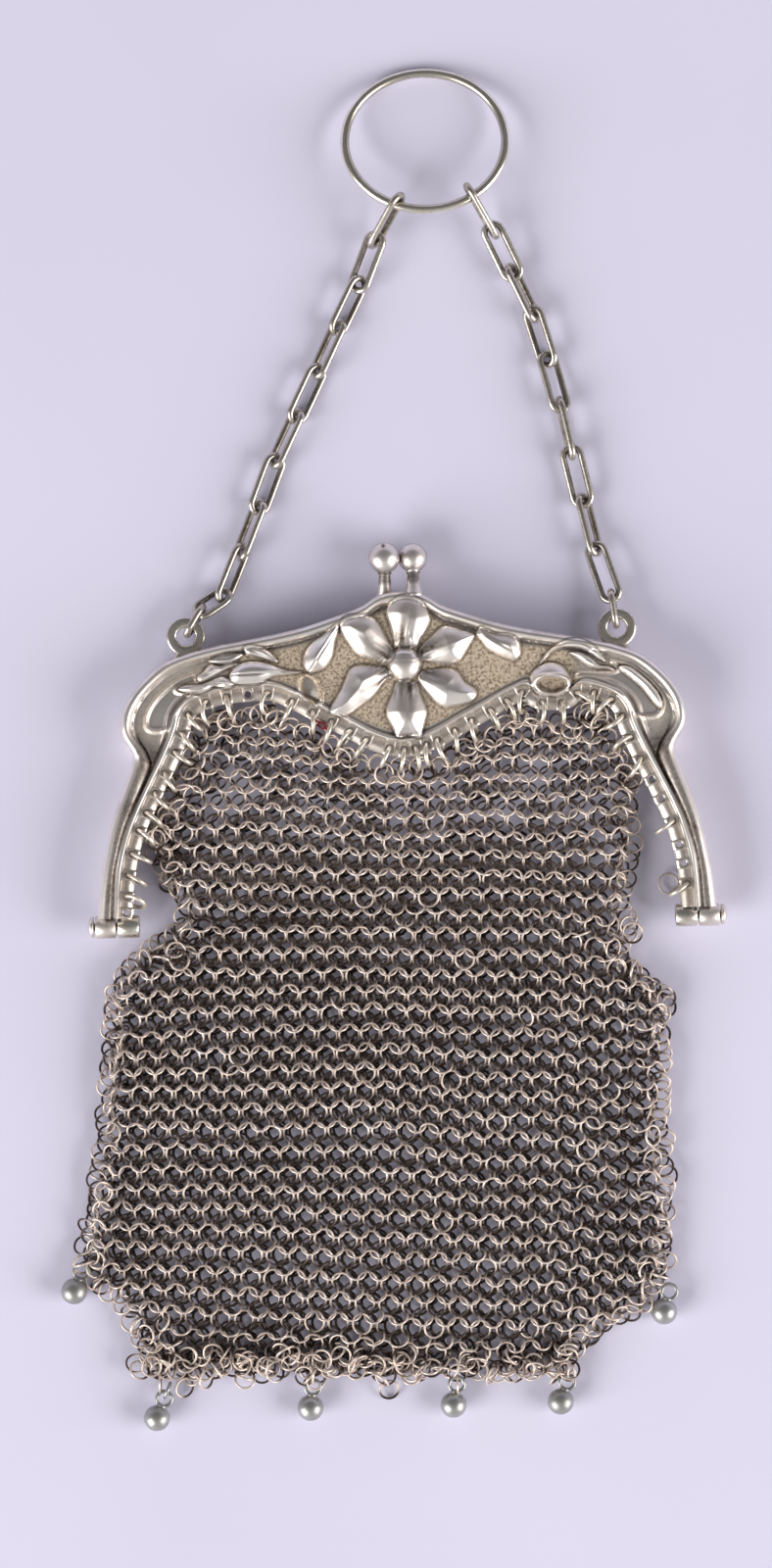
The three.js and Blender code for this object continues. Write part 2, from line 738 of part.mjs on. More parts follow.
// Where a chain hangs on the ring, and the points where its links meet on the way to the ear
function chainSpots(sign, rows) {
  const hang = rows[0];
  const share = (hang.across * ringWidth) / (ringWidth - ringWire);
  const near = ringRadius * Math.sqrt(1 - share * share);
  const top = vec(
    ringCentre.x + (hang.across * ringWidth) / 2,
    ringCentre.y - near * Math.cos(ringTilt) + hang.inside * chainWire,
    ringCentre.z + near * Math.sin(ringTilt) + hang.over * chainWire,
  );
  return [top, ...rows.slice(1).map((row) => vec(
    THREE.MathUtils.lerp(sign * earX, top.x, row.up) + row.sway * linkWidth,
    THREE.MathUtils.lerp(earY, top.y, row.up),
    row.lift * linkWidth,
  ))];
}

function addChain(side, spots, rows) {
  for (let i = 0; i + 1 < spots.length; i += 1) {
    const along = spots[i + 1].clone().sub(spots[i]).normalize();
    const middle = spots[i].clone().add(spots[i + 1]).multiplyScalar(0.5);
    const short = spots[i].distanceTo(spots[i + 1]) < shortLinkLength - chainWire;
    const length = short ? shortLinkLength : linkLength;
    const name = `chain_${side}_${String(i + 1).padStart(2, '0')}`;
    addMesh(name, link(middle, along, rows[i].roll, length, linkWidth), tarnished);
  }
}

// The last, small link runs from the chain through the hole of the ear
function addEndLink(side, sign, from, roll) {
  const to = vec(sign * earX, earY, backTop - earSheet / 2);
  const along = to.clone().sub(from).normalize();
  const start = from.clone().addScaledVector(along, -(chainWire + clearance) / 2);
  const end = to.clone().addScaledVector(along, chainWire / 2 + 2 * clearance - earHole / 2);
  const middle = start.clone().add(end).multiplyScalar(0.5);
  const length = start.distanceTo(end) + chainWire;
  addMesh(`chain_${side}_end`, link(middle, along, roll, length, endLinkWidth), tarnished);
}

[['left', -1], ['right', 1]].forEach(([side, sign]) => {
  const rows = chainRoute[side];
  const spots = chainSpots(sign, rows);
  const last = spots.length - 1;
  addChain(side, spots, rows);
  addEndLink(side, sign, spots[last], rows[last].roll);
});

addMesh('finger_ring', wireLoop(
  ringCentre,
  vec(1, 0, 0),
  vec(0, Math.cos(ringTilt), -Math.sin(ringTilt)),
  ovalPath(ringWidth, ringLength, ringWire, ringStations),
  ringWire,
  ringWireSides,
), silver);

// Bag

const bagHeight = bagHead + bagDrop;
const bagY = (down) => bagHead - down * bagHeight;

function frontWallHeight(x, y, lift) {
  let height = lift * bagDepth;
  furrows.forEach((furrow) => {
    const dx = x - furrow.x * bagHalfWidth;
    const dy = y - bagY(furrow.down);
    const c = Math.cos(rad(furrow.turn));
    const s = Math.sin(rad(furrow.turn));
    const along = (dx * c + dy * s) / (furrow.length * bagHalfWidth);
    const across = (dy * c - dx * s) / (furrow.width * bagHalfWidth);
    height -= furrow.depth * bagDepth * lift * Math.exp(-(along ** 4) - across ** 2);
  });
  return height;
}

function bagLoop(row, inset) {
  const y = bagY(row.down);
  const half = ((row.left + row.right) / 2) * bagHalfWidth;
  const middle = ((row.right - row.left) / 2) * bagHalfWidth;
  const top = row.lift * bagDepth;
  const at = (share) => middle + share * (half - inset);
  const front = bagFront.map((share) => {
    const x = middle + share * half;
    return vec(at(share), y, frontWallHeight(x, y, row.lift) - inset);
  });
  const thick = top - 2 * inset;
  return [
    vec(at(-1), y, inset + thick * 0.30),
    vec(at(-0.985), y, inset + thick * 0.72),
    ...front,
    vec(at(0.985), y, inset + thick * 0.72),
    vec(at(1), y, inset + thick * 0.30),
    ...bagBack.map((share) => vec(at(share), y, inset)),
  ];
}

function bagSolid(rows, inset) {
  const loops = rows.map((row) => bagLoop(row, inset));
  const first = loops[0];
  const last = loops[loops.length - 1];
  const middleOf = (loop, row) => vec(0, loop[0].y, (row.lift * bagDepth) / 2);
  return toSolid(skin(loops, [middleOf(first, rows[0]), middleOf(last, rows[rows.length - 1])]));
}

const cavityFloor = 1 - bagWall / bagHeight;
const bagBottomRow = bagRows[bagRows.length - 1];
const lastFullRow = bagRows[bagRows.length - 2];
const cavityShare = (cavityFloor - lastFullRow.down) / (1 - lastFullRow.down);
const cavityEnd = {
  down: cavityFloor,
  left: THREE.MathUtils.lerp(lastFullRow.left, bagBottomRow.left, cavityShare),
  right: THREE.MathUtils.lerp(lastFullRow.right, bagBottomRow.right, cavityShare),
  lift: THREE.MathUtils.lerp(lastFullRow.lift, bagBottomRow.lift, cavityShare),
};
const cavityHead = { ...bagRows[0], down: -bagWall / bagHeight };
const cavityRows = [cavityHead, ...bagRows.slice(1, -1), cavityEnd];

// Room that the frame takes, from the free edge of its flanges outwards and down past the hinges
function frameRoom() {
  const edge = archSections.map((section) => section.inner.clone()
    .addScaledVector(section.inward, section.flange));
  const free = edge.map((point, i) => {
    const before = edge[Math.max(i - 1, 0)];
    const after = edge[Math.min(i + 1, edge.length - 1)];
    const run = after.clone().sub(before).normalize();
    return point.clone().add(new THREE.Vector2(run.y, -run.x).multiplyScalar(flangeGap));
  });
  const hingeX = innerKnuckleStart - 2 * clearance - pinTailRise;
  const hingeY = -barrelDiameter / 2 - clearance;
  const far = frameSpan;
  const outline = [
    new THREE.Vector2(-far, hingeY),
    new THREE.Vector2(-hingeX, hingeY),
    new THREE.Vector2(-hingeX, free[0].y),
    ...free,
    new THREE.Vector2(hingeX, free[0].y),
    new THREE.Vector2(hingeX, hingeY),
    new THREE.Vector2(far, hingeY),
    new THREE.Vector2(far, far),
    new THREE.Vector2(-far, far),
  ];
  const depth = 2 * bagDepth + 2 * bagWall;
  const room = new THREE.ExtrudeGeometry(new THREE.Shape(outline), { depth, bevelEnabled: false });
  room.translate(0, 0, -bagWall);
  return toSolid(room);
}

const bag = bagSolid(bagRows, 0).subtract(bagSolid(cavityRows, bagWall)).subtract(frameRoom());
addMesh('mesh_bag', toGeometry(bag), mailGrey);

// Drops

function bagEdge(drop) {
  if (drop.edge === 'bottom') return new THREE.Vector2(drop.at * bagHalfWidth, -bagDrop);
  const i = bagRows.findIndex((row) => row.down > drop.at) - 1;
  const share = (drop.at - bagRows[i].down) / (bagRows[i + 1].down - bagRows[i].down);
  const half = THREE.MathUtils.lerp(bagRows[i][drop.edge], bagRows[i + 1][drop.edge], share);
  return new THREE.Vector2((drop.edge === 'left' ? -half : half) * bagHalfWidth, bagY(drop.at));
}

const heading = (degrees) => vec(Math.cos(rad(degrees)), Math.sin(rad(degrees)), 0);

function loopGeometry(centre, along, across) {
  const path = ovalPath(dropLoopDiameter, dropLoopDiameter, dropWire, dropSides);
  return wireLoop(centre, along, across, path, dropWire, linkWireSides);
}

drops.forEach((drop, i) => {
  const edge = bagEdge(drop);
  const height = dropDiameter / 2;
  const out = heading(drop.turn);
  const down = heading(drop.hang);
  const loopRadius = dropLoopDiameter / 2;
  const place = vec(edge.x, edge.y, height).addScaledVector(out, loopRadius + clearance);
  if (drop.linked) {
    addMesh(`drop_${i + 1}_link`, loopGeometry(place.clone(), down, vec(0, 0, 1)), dropGrey);
    place.addScaledVector(down, dropLoopDiameter - 2 * dropWire - clearance);
  }
  const side = vec(0, 0, 1).cross(down);
  const loop = toSolid(loopGeometry(place, down, side));
  const centre = place.clone().addScaledVector(down, loopRadius + dropDiameter / 2 - dropWire / 2);
  addMesh(`drop_${i + 1}`, toGeometry(loop.add(ball(centre, dropDiameter, dropSides, dropRows))), dropGrey);
});

// The origin lies under the middle of the whole purse, on the floor
const purse = new THREE.Group();
purse.add(...meshes);
purse.updateMatrixWorld(true);
const bounds = new THREE.Box3().setFromObject(purse);
purse.position.set(
  -(bounds.min.x + bounds.max.x) / 2,
  -(bounds.min.y + bounds.max.y) / 2,
  -bounds.min.z,
);
purse.updateMatrixWorld(true);

export default purse;
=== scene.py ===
# Metal mesh purse: the look of its frame, chains and mail, built round the CAD part's frame
import math

import bpy
import numpy as np
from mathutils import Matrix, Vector


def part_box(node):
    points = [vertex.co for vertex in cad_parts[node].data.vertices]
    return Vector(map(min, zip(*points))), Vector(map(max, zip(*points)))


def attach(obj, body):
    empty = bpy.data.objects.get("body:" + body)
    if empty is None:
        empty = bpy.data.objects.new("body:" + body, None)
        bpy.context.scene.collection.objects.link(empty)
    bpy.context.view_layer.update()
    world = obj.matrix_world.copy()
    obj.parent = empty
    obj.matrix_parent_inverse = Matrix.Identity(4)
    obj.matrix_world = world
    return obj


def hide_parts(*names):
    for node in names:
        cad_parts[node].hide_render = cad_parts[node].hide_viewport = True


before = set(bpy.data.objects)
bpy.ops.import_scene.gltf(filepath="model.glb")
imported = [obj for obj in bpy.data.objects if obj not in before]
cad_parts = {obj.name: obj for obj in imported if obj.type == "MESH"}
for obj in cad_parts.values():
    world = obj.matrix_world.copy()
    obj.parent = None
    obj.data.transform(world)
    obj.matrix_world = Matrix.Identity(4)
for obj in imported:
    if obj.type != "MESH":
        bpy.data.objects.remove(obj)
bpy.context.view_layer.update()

MM = 0.001
rng = np.random.default_rng(7)

# Middle of the hinge axis, which lengths below are measured from: x across, y up, z off the floor
left_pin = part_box("hinge_pin_left")
right_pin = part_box("hinge_pin_right")
ORIGIN = np.array([
    (left_pin[0][0] + right_pin[1][0]) / 2,
    (left_pin[0][1] + left_pin[1][1]) / 2,
    0.0,
])

# Heights of the frame
PARTING = 3.6
FIELD = 6.5
FRONT_FLANGE = 5.3
FLANGE_SHEET = 0.6
BACK_FLANGE = 2.5

# Half of the arch from its crown down: outer x and y, inner bead x and y, width of the flange
ARCH = np.array([
    (0.0, 50.3, 0.0, 27.3, 2.3),
    (3.2, 49.8, 2.4, 27.7, 2.3),
    (6.3, 48.0, 5.2, 28.8, 2.3),
    (10.5, 46.5, 8.6, 30.7, 2.3),
    (15.0, 45.1, 12.2, 32.6, 2.3),
    (19.5, 44.1, 15.8, 34.6, 2.3),
    (24.0, 43.3, 19.6, 36.2, 2.3),
    (28.5, 42.5, 23.6, 36.2, 2.25),
    (32.5, 41.5, 27.4, 35.8, 2.2),
    (36.2, 40.1, 30.6, 34.9, 2.1),
    (39.1, 37.9, 32.8, 33.7, 2.1),
    (41.5, 35.2, 34.1, 32.0, 2.1),
    (42.9, 32.3, 34.6, 30.1, 2.1),
    (43.0, 29.3, 35.5, 27.8, 2.1),
    (41.7, 26.9, 36.7, 25.2, 2.1),
    (41.3, 25.5, 37.3, 24.0, 2.1),
    (42.4, 22.2, 38.6, 21.5, 2.1),
    (43.9, 18.3, 40.5, 17.6, 2.1),
    (45.1, 14.6, 41.9, 14.2, 2.0),
    (46.1, 9.9, 43.1, 9.8, 2.0),
    (46.7, 6.3, 43.6, 6.2, 1.95),
    (47.2, 1.3, 43.9, 1.3, 1.9),
])

# Raised ornament: height of the swelling, how far in from its edge it rises, and its closed outline
RELIEF = {
    "petal_up": (2.05, 3.6, [(-0.84, 41.88), (-1.29, 43.21), (-1.8, 45.2), (-2.32, 46.98),
        (-1.96, 48.18), (-0.95, 49.19), (0.6, 49.78), (2.14, 49.52), (3.44, 48.44), (4.28, 46.84),
        (4.37, 45.51), (3.67, 43.99), (2.88, 42.9), (2.09, 41.71)]),
    "petal_ur": (2.05, 3.6, [(2.4, 40.93), (3.31, 42.24), (4.66, 43.53), (5.78, 44.6), (6.67, 44.92),
        (7.98, 44.67), (9.07, 44.27), (10.38, 43.85), (11.21, 43.39), (10.8, 42.52), (10.23, 41.65),
        (9.43, 40.35), (8.75, 39.48), (7.42, 39.07), (5.45, 39.22), (3.91, 39.54), (2.82, 39.82)]),
    "petal_lr": (2.05, 3.6, [(2.78, 38.06), (4.32, 38.25), (6.53, 38.54), (8.06, 38.17), (8.71, 37.61),
        (9.46, 36.38), (10.65, 35.59), (11.19, 35.03), (11.28, 34.15), (10.6, 33.28), (9.27, 32.87),
        (7.51, 32.57), (6.4, 32.49), (5.1, 33.17), (4.02, 34.3), (3.16, 35.42), (2.36, 36.97)]),
    "petal_down": (2.05, 3.4, [(-0.77, 36.6), (-1.46, 35.07), (-2.16, 33.55), (-2.63, 32.02),
        (-2.26, 30.69), (-1.69, 29.58), (-1.38, 28.47), (-0.73, 27.97), (0.81, 28.2), (2.57, 27.9),
        (3.03, 29.04), (3.39, 30.57), (3.64, 31.88), (3.23, 33.21), (2.71, 34.55), (2.04, 36.32)]),
    "petal_ll": (2.05, 3.7, [(-2.06, 38.39), (-3.37, 38.85), (-5.56, 39.23), (-7.1, 39.15), (-8.1, 38.51),
        (-8.68, 37.2), (-9.37, 35.68), (-10.29, 34.16), (-11.08, 32.85), (-10.95, 31.75),
        (-9.46, 31.45), (-7.91, 31.91), (-6.35, 32.97), (-4.79, 34.04), (-3.66, 35.34),
        (-2.75, 36.64), (-1.53, 37.27)]),
    "petal_ul": (2.05, 3.6, [(-1.12, 40.9), (-1.97, 42.57), (-2.81, 44.34), (-3.66, 45.9),
        (-4.74, 46.59), (-6.5, 46.84), (-8.04, 46.77), (-8.93, 46.23), (-9.44, 45.14),
        (-8.98, 43.81), (-7.92, 42.25), (-6.84, 40.91), (-5.1, 40.1), (-3.35, 39.73), (-1.92, 39.48)]),
    "bud_leaf": (1.9, 2.9, [(-9.56, 45.63), (-10.72, 44.95), (-12.06, 43.88), (-13.63, 42.81),
        (-14.71, 41.51), (-15.11, 40.2), (-14.92, 38.88), (-14.16, 38.16), (-13.06, 38.29),
        (-12.06, 38.6), (-11.28, 39.35), (-10.64, 40.44), (-10.35, 41.64), (-10.05, 43.18),
        (-9.59, 44.27)]),
    "leaf_a": (1.35, 1.7, [(-15.2, 38.31), (-17.83, 38.7), (-20.23, 39.74), (-22.64, 40.16),
        (-24.63, 39.83), (-25.97, 38.87), (-26.44, 37.56), (-25.36, 36.65), (-23.38, 36.5),
        (-21.61, 36.69), (-19.83, 37.64), (-17.63, 37.92)]),
    "leaf_b": (1.0, 1.1, [(-24.63, 39.68), (-26.41, 39.1), (-28.19, 38.14), (-29.52, 37.36),
        (-30.85, 36.95), (-31.27, 37.88), (-30.37, 38.74), (-29.25, 39.77), (-27.72, 39.57),
        (-26.17, 40.02)]),
    "leaf_c": (0.9, 0.9, [(-24.14, 42.13), (-23.03, 42.55), (-21.28, 42.18), (-19.97, 41.38),
        (-18.9, 39.93), (-20.22, 40.07), (-21.97, 40.66), (-23.61, 41.02)]),
    "leaf_d": (0.8, 0.8, [(-24.16, 41.25), (-25.92, 41.46), (-27.24, 41.32), (-28.57, 40.79),
        (-29.46, 40.26), (-28.37, 39.76), (-26.83, 39.72), (-25.28, 40.17)]),
    "leaf_e": (1.0, 1.0, [(-25.35, 36.87), (-27.31, 37.91), (-29.3, 37.35), (-30.63, 36.88),
        (-31.74, 36.74), (-33.28, 36.64), (-34.22, 35.96), (-32.21, 35.3), (-30.45, 35.31),
        (-28.66, 36.28), (-26.91, 35.98), (-25.58, 36.44)]),
    "leaf_r1": (1.5, 2.2, [(11.3, 43.5), (11.94, 44.59), (13.03, 44.23), (14.34, 43.66), (16.54, 43.39),
        (17.84, 42.37), (18.13, 40.6), (17.33, 39.41), (15.8, 39.77), (14.27, 40.47),
        (12.97, 41.37), (12.12, 42.49)]),
    "bud_r": (1.6, 2.4, [(19.56, 37.2), (20.64, 38.4), (22.33, 39.04), (24.22, 38.58), (25.45, 37.08),
        (25.8, 35.6), (24.76, 34.25), (22.85, 33.51), (20.75, 33.98), (19.63, 35.41)]),
    "leaf_r2": (0.9, 0.8, [(20.63, 38.23), (21.51, 39.9), (23.01, 41.34), (25.35, 42.45),
        (27.46, 42.41), (29.12, 41.42), (30.15, 40.35), (30.96, 38.96), (29.92, 39.3),
        (28.26, 40.39), (26.38, 41.06), (24.48, 41.1), (22.79, 40.5), (21.49, 39.06)]),
    "leaf_r3": (0.9, 0.7, [(25.52, 40.45), (27.42, 40.41), (29.08, 39.32), (30.11, 38.46),
        (31.58, 38.21), (32.41, 37.46), (30.94, 37.81), (29.47, 37.84), (28.22, 38.5), (26.76, 39.37)]),
    "stripe_r": (0.7, 0.9, [(33.05, 38.18), (34.53, 38.15), (36.6, 36.64), (38.66, 34.49),
        (39.57, 32.57), (39.23, 31.63), (38.2, 32.6), (36.56, 34.74), (34.7, 36.46), (33.25, 37.55)]),
}
# Closed bud left of the flower, pit of the bud on the right, and the sunk panels of the shoulders
RING_BUD = [(-14.72, 37.88), (-15.5, 37.35), (-15.79, 36.03), (-15.56, 34.71), (-14.7, 33.59),
    (-13.61, 33.02), (-12.73, 33.33), (-12.48, 34.42), (-12.78, 35.97), (-13.52, 37.31)]
BUD_PIT = [(20.05, 35.72), (20.6, 36.55), (21.87, 36.94), (23.55, 36.91), (25.01, 36.35),
    (25.31, 35.5), (24.56, 34.57), (22.86, 34.08), (20.98, 34.54)]
RECESSES = [
    [(-39.13, 30.34), (-39.22, 31.66), (-38.52, 33.41), (-36.83, 35.46), (-34.59, 37.18),
     (-32.15, 38.23), (-30.37, 38.96), (-31.28, 37.66), (-31.62, 36.9), (-33.94, 36.39),
     (-34.4, 35.74), (-31.77, 35.03), (-33.11, 34.18), (-34.91, 32.23), (-35.73, 30.16),
     (-37.17, 29.75), (-38.48, 29.84)],
    [(26.5, 36.85), (29.02, 36.58), (31.11, 35.91), (33.19, 34.6), (34.62, 32.68), (35.74, 30.65),
     (38.36, 30.49), (39.44, 31.52), (39.58, 33.42), (38.26, 35.34), (36.19, 37.28), (33.9, 38.59),
     (32.02, 39.05), (32.83, 37.77), (31.14, 37.38), (29.04, 37.43), (26.93, 37.47)],
]
# Boss of the flower: x, y, radius
BOSS = (0.35, 39.2, 2.5)
BOSS_RISE = 1.75

# Holes of the flange, each nearest to its point: with a jump ring on the left and on the right, and empty
JUMPS_LEFT = [(-20.5, 35.7), (-16.9, 34.1), (-13.9, 32.1), (-11.1, 30.4), (-8.2, 29.1), (-5.5, 28.2),
    (-2.1, 26.9), (-26.9, 35.0), (-29.9, 33.8), (-32.8, 32.2), (-34.5, 29.6), (-35.2, 26.6),
    (-36.6, 23.4), (-38.1, 20.2), (-39.6, 17.5), (-40.4, 14.5), (-41.6, 11.2), (-42.4, 7.9),
    (-42.6, 4.7)]
JUMPS_RIGHT = [(0.1, 26.4), (1.7, 27.0), (3.1, 27.7), (4.8, 28.4), (7.3, 29.8), (9.9, 31.5), (12.5, 33.3),
    (14.9, 34.9), (18.1, 34.9), (21.3, 33.4), (24.1, 33.4), (26.2, 34.8), (29.5, 35.5),
    (32.3, 33.7), (34.2, 30.8), (35.1, 27.5), (36.5, 24.3), (41.4, 14.6), (43.3, 4.8)]
EMPTY_HOLES = [(-23.7, 35.4), (-42.7, 2.0), (38.0, 21.0), (39.6, 18.1), (42.0, 11.0), (42.9, 8.1)]
ALL_HOLES = JUMPS_LEFT + JUMPS_RIGHT + EMPTY_HOLES
HOLE_R = 0.52


# Mesh helpers

def mesh_piece(name, verts, faces, material, slot="front_silver", tone=None):
    """A smooth mesh from points in mm and an array of faces; tone holds dirt with painted shade, and the
    stippled ground.
    """
    mesh = bpy.data.meshes.new(name)
    points = np.asarray(verts, dtype=float) * MM + ORIGIN
    count, size = faces.shape
    mesh.vertices.add(len(points))
    mesh.vertices.foreach_set("co", points.astype(np.float32).ravel())
    mesh.loops.add(count * size)
    mesh.loops.foreach_set("vertex_index", faces.astype(np.int32).ravel())
    mesh.polygons.add(count)
    mesh.polygons.foreach_set("loop_start", np.arange(0, count * size, size, dtype=np.int32))
    mesh.update(calc_edges=True)
    mesh.polygons.foreach_set("use_smooth", np.ones(len(mesh.polygons), dtype=bool))
    if tone is not None:
        layer = mesh.color_attributes.new("tone", "FLOAT_COLOR", "POINT")
        colour = np.ones((len(points), 4), dtype=np.float32)
        colour[:, :2] = tone
        colour[:, 2] = 0
        layer.data.foreach_set("color", colour.ravel())
    mesh.validate()
    piece = bpy.data.objects.new(name, mesh)
    bpy.context.scene.collection.objects.link(piece)
    mesh.materials.append(material)
    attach(piece, "root")
    return piece


def grid_faces(rows, columns, wrap_rows=False, wrap_columns=False):
    """Four-sided faces of a grid of points."""
    i = np.arange(rows if wrap_rows else rows - 1)
    j = np.arange(columns if wrap_columns else columns - 1)
    a, b = np.meshgrid(i, j, indexing="ij")
    a = a.ravel()
    b = b.ravel()
    a2 = (a + 1) % rows
    b2 = (b + 1) % columns
    return np.stack([a * columns + b, a * columns + b2, a2 * columns + b2, a2 * columns + b], axis=1)


def merged(parts):
    """Several pairs of points and faces as one; fours are split where another part has triangles."""
    verts = []
    faces = []
    offset = 0
    mixed = len({np.asarray(f).shape[1] for v, f in parts}) > 1
    for v, f in parts:
        f = np.asarray(f)
        if mixed and f.shape[1] == 4:
            f = np.concatenate([f[:, :3], f[:, [0, 2, 3]]])
        verts.append(np.asarray(v, dtype=float))
        faces.append(f + offset)
        offset += len(v)
    return np.concatenate(verts), np.concatenate(faces)


def unit(v):
    """Vectors made one long."""
    return v / np.linalg.norm(v, axis=-1, keepdims=True)


def square_to(v, axis):
    """Unit direction of v, turned square to a unit axis."""
    return unit(v - (v * axis).sum(-1, keepdims=True) * axis)


def at_height(xy, height):
    """Flat points, all at one height."""
    return np.concatenate([xy, np.full((len(xy), 1), height)], axis=1)


def run_length(points):
    """Length along a line up to each of its points."""
    return np.concatenate([[0], np.cumsum(np.linalg.norm(np.diff(points, axis=0), axis=1))])


def tube(path, radius, sides, closed):
    """A round wire along a path of points; radius is one number or one for each point."""
    path = np.asarray(path, dtype=float)
    count = len(path)
    radius = np.broadcast_to(np.asarray(radius, dtype=float), (count,))
    if closed:
        tangent = unit(np.roll(path, -1, axis=0) - np.roll(path, 1, axis=0))
    else:
        tangent = unit(np.gradient(path, axis=0))
    centre = path.mean(axis=0)
    spread = np.linalg.svd(path - centre)[2]
    normal = spread[2]
    if not closed and abs(np.dot(tangent[0], normal)) > 0.9:
        normal = spread[1]
    side = unit(np.cross(tangent, normal))
    up = unit(np.cross(side, tangent))
    angle = np.linspace(0, 2 * np.pi, sides, endpoint=False)
    ring = path[:, None, :] + radius[:, None, None] * (
        np.cos(angle)[None, :, None] * side[:, None, :] + np.sin(angle)[None, :, None] * up[:, None, :])
    verts = ring.reshape(-1, 3)
    faces = grid_faces(count, sides, wrap_rows=closed, wrap_columns=True)
    if closed:
        return verts, faces
    verts = np.concatenate([verts, path[:1], path[-1:]])
    first, last = len(verts) - 2, len(verts) - 1
    caps = []
    for j in range(0, sides, 2):
        k = (j + 1) % sides
        m = (j + 2) % sides
        caps.append((first, m, k, j))
        base = (count - 1) * sides
        caps.append((last, base + j, base + k, base + m))
    return verts, np.concatenate([faces, np.array(caps)])


def lathe(profile, axis_from, axis, sides):
    """A turned form: (radius, distance) pairs round an axis."""
    axis = unit(np.asarray(axis, dtype=float))
    helper = np.array([0.0, 0.0, 1.0]) if abs(axis[2]) < 0.9 else np.array([1.0, 0.0, 0.0])
    u = unit(np.cross(axis, helper))
    v = np.cross(axis, u)
    angle = np.linspace(0, 2 * np.pi, sides, endpoint=False)
    spokes = np.cos(angle)[:, None] * u + np.sin(angle)[:, None] * v
    verts = np.concatenate([
        np.asarray(axis_from, dtype=float) + axis * d + spokes * max(r, 0.001) for r, d in profile])
    return verts, grid_faces(len(profile), sides, wrap_columns=True)


def sphere(centre, radius, rows, sides):
    """A ball, with its poles up and down."""
    steps = np.linspace(0, np.pi, rows)
    profile = [(radius * math.sin(t), -radius * math.cos(t)) for t in steps]
    return lathe(profile, centre, (0, 0, 1), sides)


def wire_rings(centre, e1, e2, radius, wire, major, minor, squash):
    """Many wire rings at once: centres, two directions for each, and how narrow each is along the first."""
    count = len(centre)
    normal = unit(np.cross(e1, e2))
    theta = np.linspace(0, 2 * np.pi, major, endpoint=False)
    phi = np.linspace(0, 2 * np.pi, minor, endpoint=False)
    out = (np.cos(theta)[None, :, None] * (e1 * squash[:, None])[:, None, :]
           + np.sin(theta)[None, :, None] * e2[:, None, :])
    reach = radius[:, None, None] + wire[:, None, None] * np.cos(phi)[None, None, :]
    verts = (centre[:, None, None, :] + out[:, :, None, :] * reach[..., None]
             + (wire[:, None, None] * np.sin(phi)[None, None, :])[..., None] * normal[:, None, None, :])
    base = grid_faces(major, minor, wrap_rows=True, wrap_columns=True)
    faces = (base[None] + (np.arange(count) * major * minor)[:, None, None]).reshape(-1, 4)
    return verts.reshape(-1, 3), faces


# Outlines and smooth heights

def spline_span(p0, p1, p2, p3, steps):
    """Points of a Catmull-Rom curve from p1 up to p2."""
    t = np.linspace(0, 1, steps, endpoint=False)[:, None]
    return 0.5 * (2 * p1 + (p2 - p0) * t + (2 * p0 - 5 * p1 + 4 * p2 - p3) * t ** 2
                  + (3 * p1 - p0 - 3 * p2 + p3) * t ** 3)


def smooth_line(points, count, steps=24):
    """Points spread evenly along a smooth curve through the given ones."""
    points = np.asarray(points, dtype=float)
    ends = np.concatenate([[2 * points[0] - points[1]], points, [2 * points[-1] - points[-2]]])
    spans = [spline_span(*ends[i - 1:i + 3], steps) for i in range(1, len(ends) - 2)]
    out = np.concatenate([*spans, points[-1:]])
    length = run_length(out[:, :2])
    want = np.linspace(0, length[-1], count)
    return np.stack([np.interp(want, length, out[:, k]) for k in range(out.shape[1])], axis=1)


def closed_curve(points, steps=8):
    """A smooth closed curve through the given points."""
    points = np.asarray(points, dtype=float)
    n = len(points)
    spans = [spline_span(points[i - 1], points[i], points[(i + 1) % n], points[(i + 2) % n], steps)
             for i in range(n)]
    return np.concatenate(spans)


def inside_distance(xy, outline):
    """Distance to a closed outline, above zero inside it."""
    a = outline
    b = np.roll(outline, -1, axis=0)
    d = b - a
    rel = xy[:, None, :] - a[None]
    t = np.clip((rel * d[None]).sum(2) / np.maximum((d ** 2).sum(1), 1e-9)[None], 0, 1)
    gap = np.sqrt(((rel - t[..., None] * d[None]) ** 2).sum(2)).min(axis=1)
    x, y = xy[:, 0][:, None], xy[:, 1][:, None]
    crosses = ((a[None, :, 1] > y) != (b[None, :, 1] > y))
    dy = b[:, 1] - a[:, 1]
    dy = np.where(np.abs(dy) < 1e-9, 1e-9, dy)
    at = a[None, :, 0] + (y - a[None, :, 1]) * (b[:, 0] - a[:, 0])[None] / dy[None]
    inside = (crosses & (x < at)).sum(axis=1) % 2 == 1
    return np.where(inside, gap, -gap)


def near_curve(xy, points, reach):
    """A closed curve through points, which of xy lie near it, and how far inside it they are."""
    curve = closed_curve(points)
    low = curve.min(axis=0) - reach
    high = curve.max(axis=0) + reach
    near = np.flatnonzero(((xy > low) & (xy < high)).all(axis=1))
    return curve, near, inside_distance(xy[near], curve)


def ramp(value, low, high):
    """From 0 at low to 1 at high, with soft ends."""
    t = np.clip((value - low) / (high - low), 0, 1)
    return t * t * (3 - 2 * t)


def value_noise(xy, scale, seed):
    """Smooth noise between -1 and 1 over the plane."""
    table = np.random.default_rng(seed).uniform(-1, 1, (256, 256))
    p = xy / scale + 100
    i = np.floor(p).astype(int)
    f = p - i
    f = f * f * (3 - 2 * f)
    x0, y0 = i[:, 0] % 256, i[:, 1] % 256
    x1, y1 = (x0 + 1) % 256, (y0 + 1) % 256
    top = table[x0, y0] * (1 - f[:, 0]) + table[x1, y0] * f[:, 0]
    low = table[x0, y1] * (1 - f[:, 0]) + table[x1, y1] * f[:, 0]
    return top * (1 - f[:, 1]) + low * f[:, 1]


# Materials

